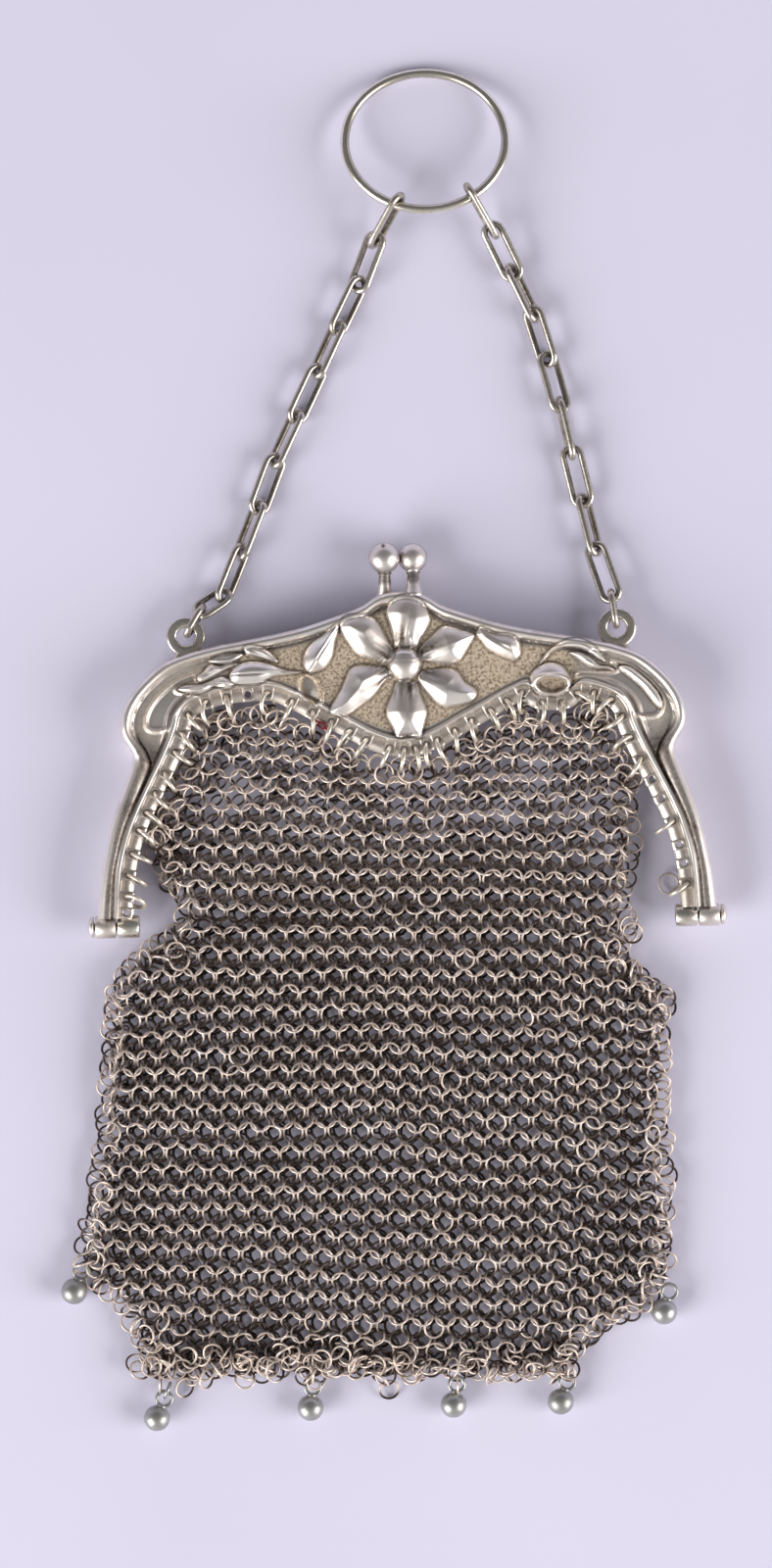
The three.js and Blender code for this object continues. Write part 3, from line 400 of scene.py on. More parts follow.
def node_material(name):
    """A new material with its tree and shader."""
    material = bpy.data.materials.new(name)
    material.use_nodes = True
    tree = material.node_tree
    shader = tree.nodes["Principled BSDF"]
    return material, tree, shader


def noise_node(tree, scale, detail, vector):
    """Noise in the object's own space, in features per metre."""
    noise = tree.nodes.new("ShaderNodeTexNoise")
    noise.inputs["Scale"].default_value = scale
    noise.inputs["Detail"].default_value = detail
    tree.links.new(vector, noise.inputs["Vector"])
    return noise.outputs["Fac"]


def map_range(tree, value, from_low, from_high, to_low, to_high):
    """One range of values drawn out to another, held at its ends."""
    node = tree.nodes.new("ShaderNodeMapRange")
    node.inputs["From Min"].default_value = from_low
    node.inputs["From Max"].default_value = from_high
    node.inputs["To Min"].default_value = to_low
    node.inputs["To Max"].default_value = to_high
    tree.links.new(value, node.inputs["Value"])
    return node.outputs["Result"]


def mix_colour(tree, factor, first, second):
    """First colour where the factor is 0, second where it is 1; each a tuple or a socket."""
    node = tree.nodes.new("ShaderNodeMix")
    node.data_type = "RGBA"
    tree.links.new(factor, node.inputs[0])
    for socket, value in ((node.inputs[6], first), (node.inputs[7], second)):
        if isinstance(value, tuple):
            socket.default_value = (*value, 1.0)
        else:
            tree.links.new(value, socket)
    return node.outputs[2]


def math_node(tree, operation, first, second):
    """Two numbers or sockets joined by an operation."""
    node = tree.nodes.new("ShaderNodeMath")
    node.operation = operation
    for socket, value in zip(node.inputs, (first, second)):
        if isinstance(value, (int, float)):
            socket.default_value = value
        else:
            tree.links.new(value, socket)
    return node.outputs[0]


def object_place(tree):
    """Place on the object, in metres."""
    return tree.nodes.new("ShaderNodeTexCoord").outputs["Object"]


def tone_parts(tree):
    """The tone painted on the points: dirt and painted shade first, stippled ground second."""
    attribute = tree.nodes.new("ShaderNodeAttribute")
    attribute.attribute_name = "tone"
    parts = tree.nodes.new("ShaderNodeSeparateColor")
    tree.links.new(attribute.outputs["Color"], parts.inputs[0])
    return parts.outputs[0], parts.outputs[1]


GROUND_COLOUR = (0.76, 0.63, 0.47)
HOLLOW_COLOUR = (0.30, 0.21, 0.14)
GROUND_METALLIC = 0.30
BUMP_DEPTH = 0.00006


def metal(name, bright, worn, tarnish_and_shade, rough, spread, bump, metallic, cover, toned=True):
    """Old silver: clean colour, warm worn colour in soft patches, dark tarnish, and a stippled ground; the
    tone also darkens it with painted shade.
    """
    material, tree, shader = node_material(name)
    place = object_place(tree)
    patch_scale, fine_scale, pit_scale = 200.0, 2000.0, 2400.0
    patch = noise_node(tree, patch_scale, 5.0, place)
    fine = noise_node(tree, fine_scale, 6.0, place)
    colour = mix_colour(tree, map_range(tree, patch, 0.35, 0.65, 0.0, 1.0), bright, worn)
    spots = map_range(tree, fine, cover, cover + 0.25, 0.0, 0.5)
    colour = mix_colour(tree, spots, colour, tarnish_and_shade)
    roughness = map_range(tree, patch, 0.3, 0.7, rough - spread, rough + spread)
    height = fine
    if toned:
        stain_and_shade, ground = tone_parts(tree)
        pits = noise_node(tree, pit_scale, 2.0, place)
        warm = math_node(tree, "MULTIPLY", ground, 0.9)
        colour = mix_colour(tree, warm, colour, GROUND_COLOUR)
        hollow = math_node(tree, "MULTIPLY", ground, map_range(tree, pits, 0.53, 0.38, 0.0, 0.85))
        colour = mix_colour(tree, hollow, colour, HOLLOW_COLOUR)
        # The tone's first channel darkens the metal towards the dark colour: partly dirt, partly painted
        # shade.
        dirt_and_shade = math_node(tree, "MULTIPLY", stain_and_shade, map_range(tree, fine, 0.25, 0.75, 0.7, 1.1))
        colour = mix_colour(tree, dirt_and_shade, colour, tarnish_and_shade)
        roughness = math_node(tree, "ADD", roughness, math_node(tree, "MULTIPLY", stain_and_shade, 0.2))
        grains = math_node(tree, "MULTIPLY", math_node(tree, "MULTIPLY", pits, 4.5), ground)
        height = math_node(tree, "ADD", math_node(tree, "MULTIPLY", fine, 0.35), grains)
        matt = map_range(tree, ground, 0.0, 1.0, metallic, GROUND_METALLIC)
        tree.links.new(matt, shader.inputs["Metallic"])
    else:
        shader.inputs["Metallic"].default_value = metallic
    tree.links.new(colour, shader.inputs["Base Color"])
    tree.links.new(roughness, shader.inputs["Roughness"])
    node = tree.nodes.new("ShaderNodeBump")
    node.inputs["Strength"].default_value = bump
    node.inputs["Distance"].default_value = BUMP_DEPTH
    tree.links.new(height, node.inputs["Height"])
    tree.links.new(node.outputs["Normal"], shader.inputs["Normal"])
    return material


front_silver = metal("front_silver", (0.95, 0.91, 0.88), (0.88, 0.81, 0.75), (0.10, 0.068, 0.05),
                     rough=0.35, spread=0.05, bump=0.30, metallic=0.90, cover=0.64)
back_silver = metal("back_silver", (0.84, 0.81, 0.75), (0.72, 0.66, 0.57), (0.13, 0.10, 0.07),
                    rough=0.28, spread=0.06, bump=0.3, metallic=0.93, cover=0.56, toned=False)
ring_silver = metal("ring_silver", (0.93, 0.90, 0.84), (0.76, 0.71, 0.60), (0.15, 0.12, 0.08),
                    rough=0.20, spread=0.05, bump=0.2, metallic=0.93, cover=0.62)
chain_silver = metal("chain_silver", (0.67, 0.63, 0.57), (0.52, 0.48, 0.41), (0.09, 0.07, 0.05),
                     rough=0.27, spread=0.06, bump=0.3, metallic=0.90, cover=0.54)
drop_grey = metal("drop_grey", (0.46, 0.47, 0.46), (0.37, 0.37, 0.35), (0.15, 0.14, 0.13),
                  rough=0.40, spread=0.06, bump=0.3, metallic=0.8, cover=0.56, toned=False)


def mail_material(name, bright, worn, tarnish_and_shade, rough, metallic, toned=True):
    """Mail wire: bright on the raised arcs; painted shade, partly brown tarnish, on the sides that face down
    and down inside.
    """
    material, tree, shader = node_material(name)
    place = object_place(tree)
    patch = noise_node(tree, 190.0, 4.0, place)
    fine = noise_node(tree, 1600.0, 4.0, place)
    colour = mix_colour(tree, map_range(tree, patch, 0.38, 0.62, 0.0, 1.0), bright, worn)
    geometry = tree.nodes.new("ShaderNodeNewGeometry")
    facing = tree.nodes.new("ShaderNodeSeparateXYZ")
    tree.links.new(geometry.outputs["Normal"], facing.inputs[0])
    # Painted shade, partly tarnish: the wire darkens where it faces sideways or down.
    under = map_range(tree, facing.outputs[2], -0.2, 0.6, 0.7, 0.0)
    dirt_and_shade = math_node(tree, "MULTIPLY", under, map_range(tree, fine, 0.3, 0.7, 0.5, 1.1))
    if toned:
        dirt_and_shade = math_node(tree, "MAXIMUM", dirt_and_shade, tone_parts(tree)[0])
    colour = mix_colour(tree, dirt_and_shade, colour, tarnish_and_shade)
    tree.links.new(colour, shader.inputs["Base Color"])
    tree.links.new(map_range(tree, fine, 0.3, 0.7, rough - 0.05, rough + 0.08), shader.inputs["Roughness"])
    shader.inputs["Metallic"].default_value = metallic
    return material


mail = mail_material("mail_front", (0.90, 0.775, 0.69), (0.76, 0.63, 0.54), (0.065, 0.040, 0.031),
                     rough=0.36, metallic=0.5)
# Darker copy of the mail wire for the back layer: painted shade under the front layer, partly tarnish.
mail_back_shaded = mail_material("mail_back", (0.50, 0.40, 0.34), (0.40, 0.31, 0.26), (0.028, 0.018, 0.014),
                          rough=0.45, metallic=0.5)
jump_silver = mail_material("jump_silver", (0.88, 0.81, 0.72), (0.74, 0.67, 0.57), (0.12, 0.09, 0.07),
                            rough=0.33, metallic=0.65, toned=False)


# Frame: outer edge, inner bead edge and flange width along the arch, from left to right

ARCH_STEPS = 860
mirror = ARCH[1:][::-1].copy()
mirror[:, 0] *= -1
mirror[:, 2] *= -1
line = smooth_line(np.concatenate([mirror, ARCH]), 3000)
weight = np.where(line[:, 1] > 27, 1.0, 0.5)
weight = np.cumsum(weight * np.linalg.norm(np.gradient(line[:, 0:2], axis=0), axis=1))
wanted = np.linspace(weight[0], weight[-1], ARCH_STEPS)
line = np.stack([np.interp(wanted, weight, line[:, k]) for k in range(5)], axis=1)
line[:, 3] -= 2.3 * np.exp(-((line[:, 2] - 22.7) / 3.3) ** 4)
outer = line[:, 0:2]
inner = line[:, 2:4]
flange = line[:, 4]
inward = unit(inner - outer)
width = np.linalg.norm(inner - outer, axis=1)
edge_run = unit(np.gradient(inner, axis=0))
edge_in = np.stack([edge_run[:, 1], -edge_run[:, 0]], axis=1)
free_edge = inner + edge_in * flange[:, None]
hole_line = inner + edge_in * (flange * 0.5)[:, None]


def nearest_hole(spot):
    """Which point of the flange's line of holes lies nearest."""
    return np.linalg.norm(hole_line - np.array(spot), axis=1).argmin()


def ridge(value, middle, half):
    """A soft ridge: 1 at its middle, fading over a half width."""
    return np.exp(-((value - middle) / half) ** 2)


def round_top(value, middle, half):
    """Section of a round bead, between 0 and 1."""
    return np.sqrt(np.clip(1 - ((value - middle) / half) ** 2, 0, 1))


def cast_section(xy, from_outer, from_inner, arm, shoulder):
    """Height of the plain casting across the arch, and the dirt in its grooves."""
    field_low = FIELD - 0.3
    rim_middle = 0.85 + 0.55 * arm
    rim_half = 0.95 + 0.50 * arm
    rim_foot = 5.55
    rim_rise = 1.65 - 0.25 * arm
    z = np.full(len(xy), field_low)
    rim = rim_foot + rim_rise * round_top(from_outer, rim_middle, rim_half)
    z = np.where(from_outer < rim_middle + rim_half * 0.98, np.maximum(z - 0.4, rim), z)
    channel_deep = 0.35
    channel = ridge(from_outer, 2.05 + 0.85 * arm, 0.34 - 0.18 * arm)
    z -= channel_deep * channel
    hollow = shoulder * (1 - arm) * ramp(from_outer, 2.0, 2.6) * (1 - ramp(from_outer, 2.6, 5.5))
    z -= channel_deep * hollow
    bead = FIELD - 0.35 + 0.7 * round_top(from_inner, 0.42, 0.47)
    z = np.where(from_inner < 0.88, np.maximum(z, bead), z)
    second_bead = ridge(from_inner, 1.75, 0.26) * shoulder * (1 - arm)
    z += 0.35 * second_bead - 0.22 * ridge(from_inner, 1.15, 0.2)
    z = FRONT_FLANGE + (z - FRONT_FLANGE) * ramp(from_inner, -0.05, 0.2)
    dirt_and_shade = np.maximum(channel * (0.95 - 0.45 * shoulder), 0.55 * ridge(from_inner, 1.12, 0.2))
    by_flower = 1 - ramp(np.abs(xy[:, 0]), 9.0, 14.0)
    behind_rim = 0.75 * ramp(from_outer, 1.5, 2.2) * (1 - ramp(from_outer, 2.3, 3.3)) * by_flower
    return z, np.maximum(dirt_and_shade, behind_rim)


def petal_form(xy, centre, d, top):
    """A petal with its middle groove and ribs, the dark streaks at its foot, and painted shade along one
    flank.
    """
    base = np.array(BOSS[:2])
    axis = unit(centre - base)
    along = (xy - base) @ axis
    across = (xy - base) @ np.array([-axis[1], axis[0]])
    groove = ridge(across, 0.0, 0.95) * ramp(along, 1.8, 3.2) * (1 - ramp(along, 6.5, 10.5))
    top = top * (0.80 + 0.20 * ramp(along, 2.0, 7.5)) - 0.34 * groove * ramp(d, 0.1, 0.5)
    ribs = np.cos(across * 6.5) * ridge(along, 3.6, 1.5)
    top += 0.05 * ribs * ramp(d, 0.15, 0.4)
    within = ramp(d, 0.05, 0.4)
    streak = (0.46 - 0.32 * np.cos(across * 5.2)) * (1 - ramp(along, 2.6, 6.2))
    # Painted shade along one flank of the petal, where it folds.
    fold = 0.55 * ridge(across, 0.9, 0.8) * (1 - ramp(along, 5.0, 9.0))
    return top, streak * within + fold * within


def leaf_vein(xy, curve, d):
    """Depth of the groove along the middle of a leaf."""
    centre = curve.mean(axis=0)
    axis = np.linalg.svd(curve - centre)[2][0]
    across = (xy - centre) @ np.array([-axis[1], axis[0]])
    return 0.16 * ridge(across, 0.0, 0.22) * ramp(d, 0.1, 0.4)


def raised_ornament(xy):
    """How far the ornament stands up, the shade at its foot and the streaks on its petals."""
    raised = np.zeros(len(xy))
    shade = np.zeros(len(xy))
    streaks = np.zeros(len(xy))
    for name, (rise, reach, outline) in RELIEF.items():
        curve, near, d = near_curve(xy, outline, 0.8)
        wall = 0.30 if rise > 1.05 else 0.18
        swell = np.sin(0.5 * np.pi * np.clip(d / reach, 0, 1))
        top = wall * ramp(d, -0.02, 0.22) + (rise - wall) * swell
        if name.startswith("petal"):
            top, dark = petal_form(xy[near], curve.mean(axis=0), d, top)
            streaks[near] = np.maximum(streaks[near], dark)
        elif "leaf" in name:
            top -= leaf_vein(xy[near], curve, d)
        raised[near] = np.maximum(raised[near], np.where(d > -0.02, top, 0))
        shade[near] = np.maximum(shade[near], ridge(d, -0.10, 0.20) * (d < 0.10))
    return raised, shade, streaks


def front_height(xy, from_outer, from_inner):
    """Height of the cast front, how dark it is and where its ground is stippled."""
    arm = 1 - ramp(xy[:, 1], 26.5, 30.5)
    shoulder = ramp(np.abs(xy[:, 0]), 27.0, 33.0)
    z, dirt_and_shade = cast_section(xy, from_outer, from_inner, arm, shoulder)
    ground = ramp(from_outer, 2.2, 2.8) * ramp(from_inner, 1.3, 1.7)
    wide = (1 - ramp(np.abs(xy[:, 0]), 25.5, 28.5)) * (xy[:, 1] > 25)
    panel = np.zeros(len(xy))
    for outline in RECESSES:
        near, d = near_curve(xy, outline, 1.0)[1:]
        z[near] += 0.34 * ridge(d, 0.0, 0.25) - 0.3 * ramp(d, 0.1, 0.6)
        panel[near] = np.maximum(panel[near], ramp(d, 0.1, 0.4))
        dirt_and_shade[near] = np.maximum(dirt_and_shade[near], 0.4 * ridge(d, 0.45, 0.22))
    raised, shade, streaks = raised_ornament(xy)
    ornament = (raised > 0.02) & (from_outer > 1.1)
    z = np.where(ornament, np.maximum(z, FIELD - 0.2 + raised), z)
    for outline, border in ((RING_BUD, 0.28), (BUD_PIT, 0.24)):
        near, d = near_curve(xy, outline, 1.0)[1:]
        z[near] += 0.55 * ridge(d, 0.0, border) - 0.75 * ramp(d, 0.15, 0.6)
        dirt_and_shade[near] = np.maximum(dirt_and_shade[near], 0.62 * ramp(d, 0.25, 0.6))
        ground[near] = np.maximum(ground[near], ramp(d, 0.3, 0.6))
        raised[near] = raised[near] * (1 - ramp(d, 0.15, 0.4))
    boss_x, boss_y, boss_r = BOSS
    boss_gap = np.hypot(xy[:, 0] - boss_x, xy[:, 1] - boss_y)
    off_boss = boss_gap > boss_r
    cap = round_top(boss_gap, 0.0, boss_r)
    above = xy[:, 1] - boss_y
    ridges = 0.07 * np.cos(above * 8.0) * ramp(above, 0.0, 0.6) * ramp(cap, 0.3, 0.5)
    boss_top = FIELD + 0.15 + BOSS_RISE * cap + ridges
    z = np.where(boss_gap < boss_r, np.maximum(z, boss_top), z)
    shade = np.maximum(shade, ridge(boss_gap - boss_r, 0.12, 0.22))
    free = (1 - ramp(raised, 0.02, 0.10)) * off_boss * (1 - ramp(panel, 0.2, 0.6))
    stippled = ground * free * np.maximum(wide, 0.35 * (1 - arm))
    z += 0.05 * value_noise(xy, 0.42, 3) * stippled
    # Painted shade round the foot of the raised ornament and round the boss goes into the dark tone.
    dirt_and_shade = np.maximum(dirt_and_shade, shade * 0.85)
    dirt_and_shade = dirt_and_shade * np.where((raised > 0.35) & off_boss, 0.25, 1.0)
    # Dark streaks at the petals' feet and painted shade along their folds go into the dark tone.
    dirt_and_shade = np.maximum(dirt_and_shade, streaks * off_boss)
    patina = 0.18 * ramp(value_noise(xy, 2.6, 8), 0.1, 0.8)
    patina = patina + 0.74 * arm * ramp(from_inner, 0.8, 1.1) * ramp(from_outer, 0.6, 1.2)
    return z, np.clip(dirt_and_shade + patina * (1 - 0.5 * stippled), 0, 1), stippled


def front_shell():
    """The cast front with its outer wall and underside, as one closed skin."""
    columns = 98
    under_lip = 5.6
    wall_foot = PARTING + 0.15
    share = np.linspace(0, 1, columns)
    share = 0.6 * share + 0.4 * (0.5 - 0.5 * np.cos(np.pi * share))
    reach = width + 0.12
    xy = outer[:, None, :] + inward[:, None, :] * (share[None, :, None] * reach[:, None, None])
    flat = xy.reshape(-1, 2)
    from_outer = (share[None, :] * reach[:, None]).ravel()
    from_inner = (width[:, None] - share[None, :] * reach[:, None]).ravel()
    z, dirt_and_shade, stippled = front_height(flat, from_outer, from_inner)
    top = np.concatenate([flat, z[:, None]], axis=1).reshape(ARCH_STEPS, columns, 3)
    under = []
    for part, height in ((1.0, FRONT_FLANGE - FLANGE_SHEET), (0.94, under_lip), (0.5, under_lip)):
        under.append(at_height(outer + inward * (part * reach)[:, None], height))
    for inset, height in ((1.0, 5.5), (1.0, wall_foot), (0.12, wall_foot), (0.0, PARTING + 0.35),
                          (-0.02, 5.0)):
        under.append(at_height(outer + inward * inset, height))
    loops = np.concatenate([top, np.stack(under, axis=1)], axis=1)
    tones = np.zeros((ARCH_STEPS, loops.shape[1], 2))
    tones[:, :columns, 0] = dirt_and_shade.reshape(ARCH_STEPS, columns)
    tones[:, :columns, 1] = stippled.reshape(ARCH_STEPS, columns)
    tones[:, columns:columns + 6, 0] = 0.5
    faces = grid_faces(ARCH_STEPS, loops.shape[1], wrap_columns=True)[:, ::-1]
    return loops.reshape(-1, 3), faces, tones.reshape(-1, 2)


def flange_strip(bottom):
    """A thin flange between the inner bead and its free edge, with round holes cut through."""
    top = bottom + FLANGE_SHEET
    tucked, free = -0.62, 0.5
    cell_half = 0.85
    step = 0.35
    soft_edge = 0.08
    run = run_length(hole_line)
    cells = []
    at = 0.0
    for spot in sorted(run[nearest_hole(hole)] for hole in ALL_HOLES):
        low = max(spot - cell_half, at)
        if low > at + 0.02:
            cells.append((at, low, None))
        cells.append((low, spot + cell_half, spot))
        at = spot + cell_half
    cells.append((at, run[-1], None))

    def place(s, w):
        """A point s along the line of holes and w flange widths across from it."""
        point = [np.interp(s, run, hole_line[:, k]) for k in (0, 1)]
        side = unit(np.array([np.interp(s, run, edge_in[:, k]) for k in (0, 1)]))
        return np.array(point) + side * np.interp(s, run, flange) * w

    parts = []
    for low, high, spot in cells:
        if spot is None:
            n = max(2, int((high - low) / step) + 1)
            loop = []
            for s in np.linspace(low, high, n):
                p, q = place(s, tucked), place(s, free)
                loop.append([(*p, top), (*q, top - soft_edge), (*q, bottom), (*p, bottom)])
            parts.append((np.array(loop).reshape(-1, 3), grid_faces(n, 4, wrap_columns=True)[:, ::-1]))
            continue
        rungs = (tucked, tucked / 2, 0.0, free / 2, free)
        quarters = [low + (high - low) * f for f in (0.25, 0.5, 0.75)]
        rim = [(low, w) for w in rungs] + [(s, free) for s in quarters]
        rim += [(high, w) for w in rungs[::-1]] + [(s, tucked) for s in quarters[::-1]]
        border = np.array([place(s, w) for s, w in rim])
        centre = place(spot, 0.0)
        spokes = unit(border - centre)
        hole = centre + spokes * HOLE_R
        lip = centre + spokes * (HOLE_R + 0.12)
        loops = np.stack([at_height(border, bottom), at_height(border, top), at_height(lip, top),
                          at_height(hole, top - soft_edge), at_height(hole, bottom)])
        faces = grid_faces(len(loops), len(border), wrap_rows=True, wrap_columns=True)[:, ::-1]
        parts.append((loops.reshape(-1, 3), faces))
    return merged(parts)


def knuckle(x0, x1):
    """A hinge barrel, bored for its pin."""
    r, bore, soft = 1.75, 0.9, 0.15
    length = abs(x1 - x0)
    profile = [(bore, 0), (r - soft, 0), (r, soft), (r, length - soft), (r - soft, length), (bore, length),
               (bore, 0)]
    return lathe(profile, (x0, 0, PARTING), (1 if x1 > x0 else -1, 0, 0), 32)


def ball_on_stem(foot, centre, radius):
    """Clasp ball with its stem, which flares into the rim, and a collar on the stem."""
    foot = np.array(foot)
    centre = np.array(centre)
    t = np.linspace(0, 1, 12)
    path = foot[None] + (centre - foot)[None] * t[:, None]
    path[:, 2] += 0.4 * np.sin(t * np.pi)
    path[:, 0] += 0.02 * np.sin(t * np.pi)
    size = 0.80 + 0.85 * (1 - t) ** 3
    collar = lathe([(0.7, -0.25), (1.05, -0.1), (1.05, 0.1), (0.7, 0.25)], path[7], centre - foot, 20)
    return merged([tube(path, size, 20, False), collar, sphere(centre, radius, 48, 72)])


def capped(verts, faces, size):
    """Closes both ends of a skin of loops with fans of triangles."""
    loops = verts.reshape(-1, size, 3)
    around = np.arange(size)
    parts = [(verts, faces)]
    for end, before in ((0, 1), (-1, -2)):
        centre = loops[end].mean(axis=0)
        points = np.concatenate([loops[end], centre[None]])
        fan = np.stack([np.full(size, size), around, (around + 1) % size], axis=1)
        corner = points[fan]
        facing = np.cross(corner[:, 1] - corner[:, 0], corner[:, 2] - corner[:, 0]).sum(axis=0)
        if facing @ (centre - loops[before].mean(axis=0)) < 0:
            fan = fan[:, ::-1]
        parts.append((points, fan))
    return merged(parts)


def ball_tone(verts, centre, radius, dimple=None):
    """Painted shade round the sides of a clasp ball and at the top of its stem, under the ball."""
    # Painted shade on the ball's sides and lower half, and on the stem just under the ball.
    low = 1 - ramp(verts[:, 2], centre[2] + 0.05 * radius, centre[2] + 0.5 * radius)
    tone = 0.12 + 0.72 * low * (verts[:, 1] > centre[1] - radius)
    stem = (verts[:, 1] > centre[1] - radius - 1.5) & (verts[:, 1] < centre[1] - radius + 0.15)
    tone = np.maximum(tone, 0.85 * stem)
    if dimple is not None:
        spot = np.hypot(verts[:, 0] - dimple[0], verts[:, 1] - dimple[1])
        tone = np.maximum(tone, 0.95 * (1 - ramp(spot, 0.2, 0.42)) * (verts[:, 2] > centre[2]))
    return np.stack([tone, np.zeros(len(verts))], axis=1)


shell_verts, shell_faces, shell_tone = front_shell()
verts, faces = capped(shell_verts, shell_faces, len(shell_verts) // ARCH_STEPS)
shell_tone = np.concatenate([shell_tone, np.full((len(verts) - len(shell_tone), 2), (0.5, 0.0))])
front = mesh_piece("frame_front", verts, faces, front_silver, "front_silver", shell_tone)
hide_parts("front_frame")

# Tone of the flange: pale and a little dull, dark at the rims of its holes
verts, faces = flange_strip(FRONT_FLANGE - FLANGE_SHEET)
holes = np.array([hole_line[nearest_hole(spot)] for spot in ALL_HOLES])
gap = np.linalg.norm(verts[:, None, :2] - holes[None], axis=2).min(axis=1)
rim_reach = HOLE_R + 0.10
strip_tone = np.stack([0.30 + 0.65 * (gap < rim_reach), 0.22 * (gap > rim_reach)], axis=1)
mesh_piece("frame_front_flange", verts, faces, front_silver, "front_silver", strip_tone)

KNUCKLES_FRONT = ((44.6, 47.7), (-44.6, -47.7))
KNUCKLES_BACK = ((41.0, 44.3), (-41.0, -44.3))
verts, faces = merged([knuckle(*ends) for ends in KNUCKLES_FRONT])
mesh_piece("frame_front_knuckles", verts, faces, front_silver, "front_silver",
           np.full((len(verts), 2), (0.2, 0.0)))
# Clasp balls: foot of the stem, centre and radius of the ball, dark spot on top
for name, foot, centre, radius, dimple in (
        ("clasp_ball_right", (1.95, 49.3, 5.6), (1.95, 55.5, 3.05), 2.22, None),
        ("clasp_ball_left", (-2.4, 49.0, 2.9), (-2.4, 55.5, 4.5), 2.36, (-2.53, 57.28))):
    verts, faces = ball_on_stem(foot, centre, radius)
    mesh_piece(name, verts, faces, front_silver, "front_silver", ball_tone(verts, centre, radius, dimple))


def back_shell():
    """Plain back half: rim wall, flat plate and the step up to its flange."""
    # Share of the arch's width, shift inwards, height
    profile = [(0.0, 0.0, PARTING - 0.15), (0.0, 0.9, PARTING - 0.15), (0.0, 1.1, PARTING - 0.3),
               (0.0, 1.15, 0.95), (0.5, 0.0, 0.9), (1.0, -0.9, 0.9), (1.0, -0.4, BACK_FLANGE),
               (1.0, 0.12, BACK_FLANGE), (1.0, 0.12, BACK_FLANGE - FLANGE_SHEET),
               (1.0, -0.25, 0.5), (1.0, -0.6, 0.05), (0.5, 0.0, 0.0), (0.0, 0.6, 0.0), (0.0, 0.18, 0.15),
               (0.0, 0.0, 0.6)]
    loops = []
    for share, shift, height in profile:
        loops.append(at_height(outer + inward * (share * width + shift)[:, None], height))
    loops = np.stack(loops, axis=1)
    faces = grid_faces(ARCH_STEPS, loops.shape[1], wrap_columns=True)
    return capped(loops.reshape(-1, 3), faces, loops.shape[1])


def ear_plate(x, y):
    """Flat ear: a ring plate with rounded edges, and its neck."""
    z0, z1 = 2.45, 3.45
    profile = [(1.42, z0 + 0.2), (1.42, z1 - 0.25), (1.6, z1 - 0.05), (1.85, z1), (2.6, z1),
               (2.85, z1 - 0.06), (3.0, z1 - 0.3), (3.0, z0 + 0.25), (2.8, z0), (1.6, z0), (1.42, z0 + 0.2)]
    ring = lathe(profile, (x, y, 0), (0, 0, 1), 48)
    path = np.array([(x, y - 2.3 - 0.25 * k, 2.95) for k in range(6)])
    neck = tube(path, np.array([0.7, 0.95, 1.05, 1.15, 1.3, 1.4]) * 0.5 + 0.25, 12, False)
    wide = neck[0].copy()
    wide[:, 0] = x + (wide[:, 0] - x) * 2.2
    wide[:, 2] = np.clip(wide[:, 2], 2.46, 3.44)
    return [ring, (wide, neck[1])]


parts = [back_shell(), flange_strip(BACK_FLANGE - FLANGE_SHEET)]
parts += [knuckle(*ends) for ends in KNUCKLES_BACK]
EAR_X = 33.0
EAR_Y = 44.16
parts += ear_plate(-EAR_X, EAR_Y) + ear_plate(EAR_X, EAR_Y)
verts, faces = merged(parts)
back = mesh_piece("frame_back", verts, faces, back_silver, "back_silver")
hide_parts("back_frame")

# Hinge pins with domed heads
for side, node in ((-1, "hinge_pin_left"), (1, "hinge_pin_right")):
    profile = [(0.6, 0.0), (0.6, 7.0), (1.5, 7.02), (1.65, 7.15), (1.5, 7.5), (1.1, 7.78), (0.5, 7.95),
               (0.0, 8.0)]
    pin = lathe(profile, (side * 40.95, 0, PARTING), (side, 0, 0), 32)
    piece = mesh_piece("pin_left" if side < 0 else "pin_right", *pin, front_silver, "front_silver",
                       np.tile([0.1, 0.0], (len(pin[0]), 1)))
    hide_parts(node)


# Chains and finger ring, from where their solids lie

def node_points(name):
    """Points of a CAD node, in mm from the hinge axis."""
    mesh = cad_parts[name].data
    points = np.empty(len(mesh.vertices) * 3, dtype=np.float32)
    mesh.vertices.foreach_get("co", points)
    return (points.reshape(-1, 3).astype(float) - ORIGIN) / MM


def loop_axes(name):
    """Middle, directions and extents of a loop: its length first, its wire last."""
    points = np.unique(np.round(node_points(name), 3), axis=0)
    centre = points.mean(axis=0)
    axes = np.linalg.svd(points - centre)[2]
    rel = (points - centre) @ axes.T
    size = rel.max(axis=0) - rel.min(axis=0)
    middle = (rel.max(axis=0) + rel.min(axis=0)) / 2
    return centre + middle @ axes, axes, size


def ring_path(centre, first, second, theta):
    """A round or oval path, from its middle and two half axes."""
    return centre + np.cos(theta)[:, None] * first + np.sin(theta)[:, None] * second


def oblong(length, wide, wire, steps=9):
    """Middle line of a long link, in its own plane."""
    bend = (wide - wire) / 2
    reach = (length - wire) / 2 - bend
    arc = np.linspace(-np.pi / 2, np.pi / 2, steps)
    half = np.stack([reach + bend * np.cos(arc), bend * np.sin(arc)], axis=1)
    side = np.stack([np.linspace(reach, -reach, 7)[1:-1], np.full(5, bend)], axis=1)
    return np.concatenate([half, side, -half, -side])


def inner_tone(verts, path, centre, sides, depth):
    """Darker on the side of a bent wire that faces its middle, and painted shade on its underside."""
    out = unit(verts - np.repeat(path, sides, axis=0))
    towards = unit(centre - np.repeat(path, sides, axis=0))
    inner = ramp((out * towards).sum(axis=1), -0.15, 0.75)
    # Painted shade on the side of the wire that faces down.
    under = ramp(-out[:, 2], -0.1, 0.7)
    return np.stack([depth * np.maximum(inner, 0.6 * under), np.zeros(len(verts))], axis=1)


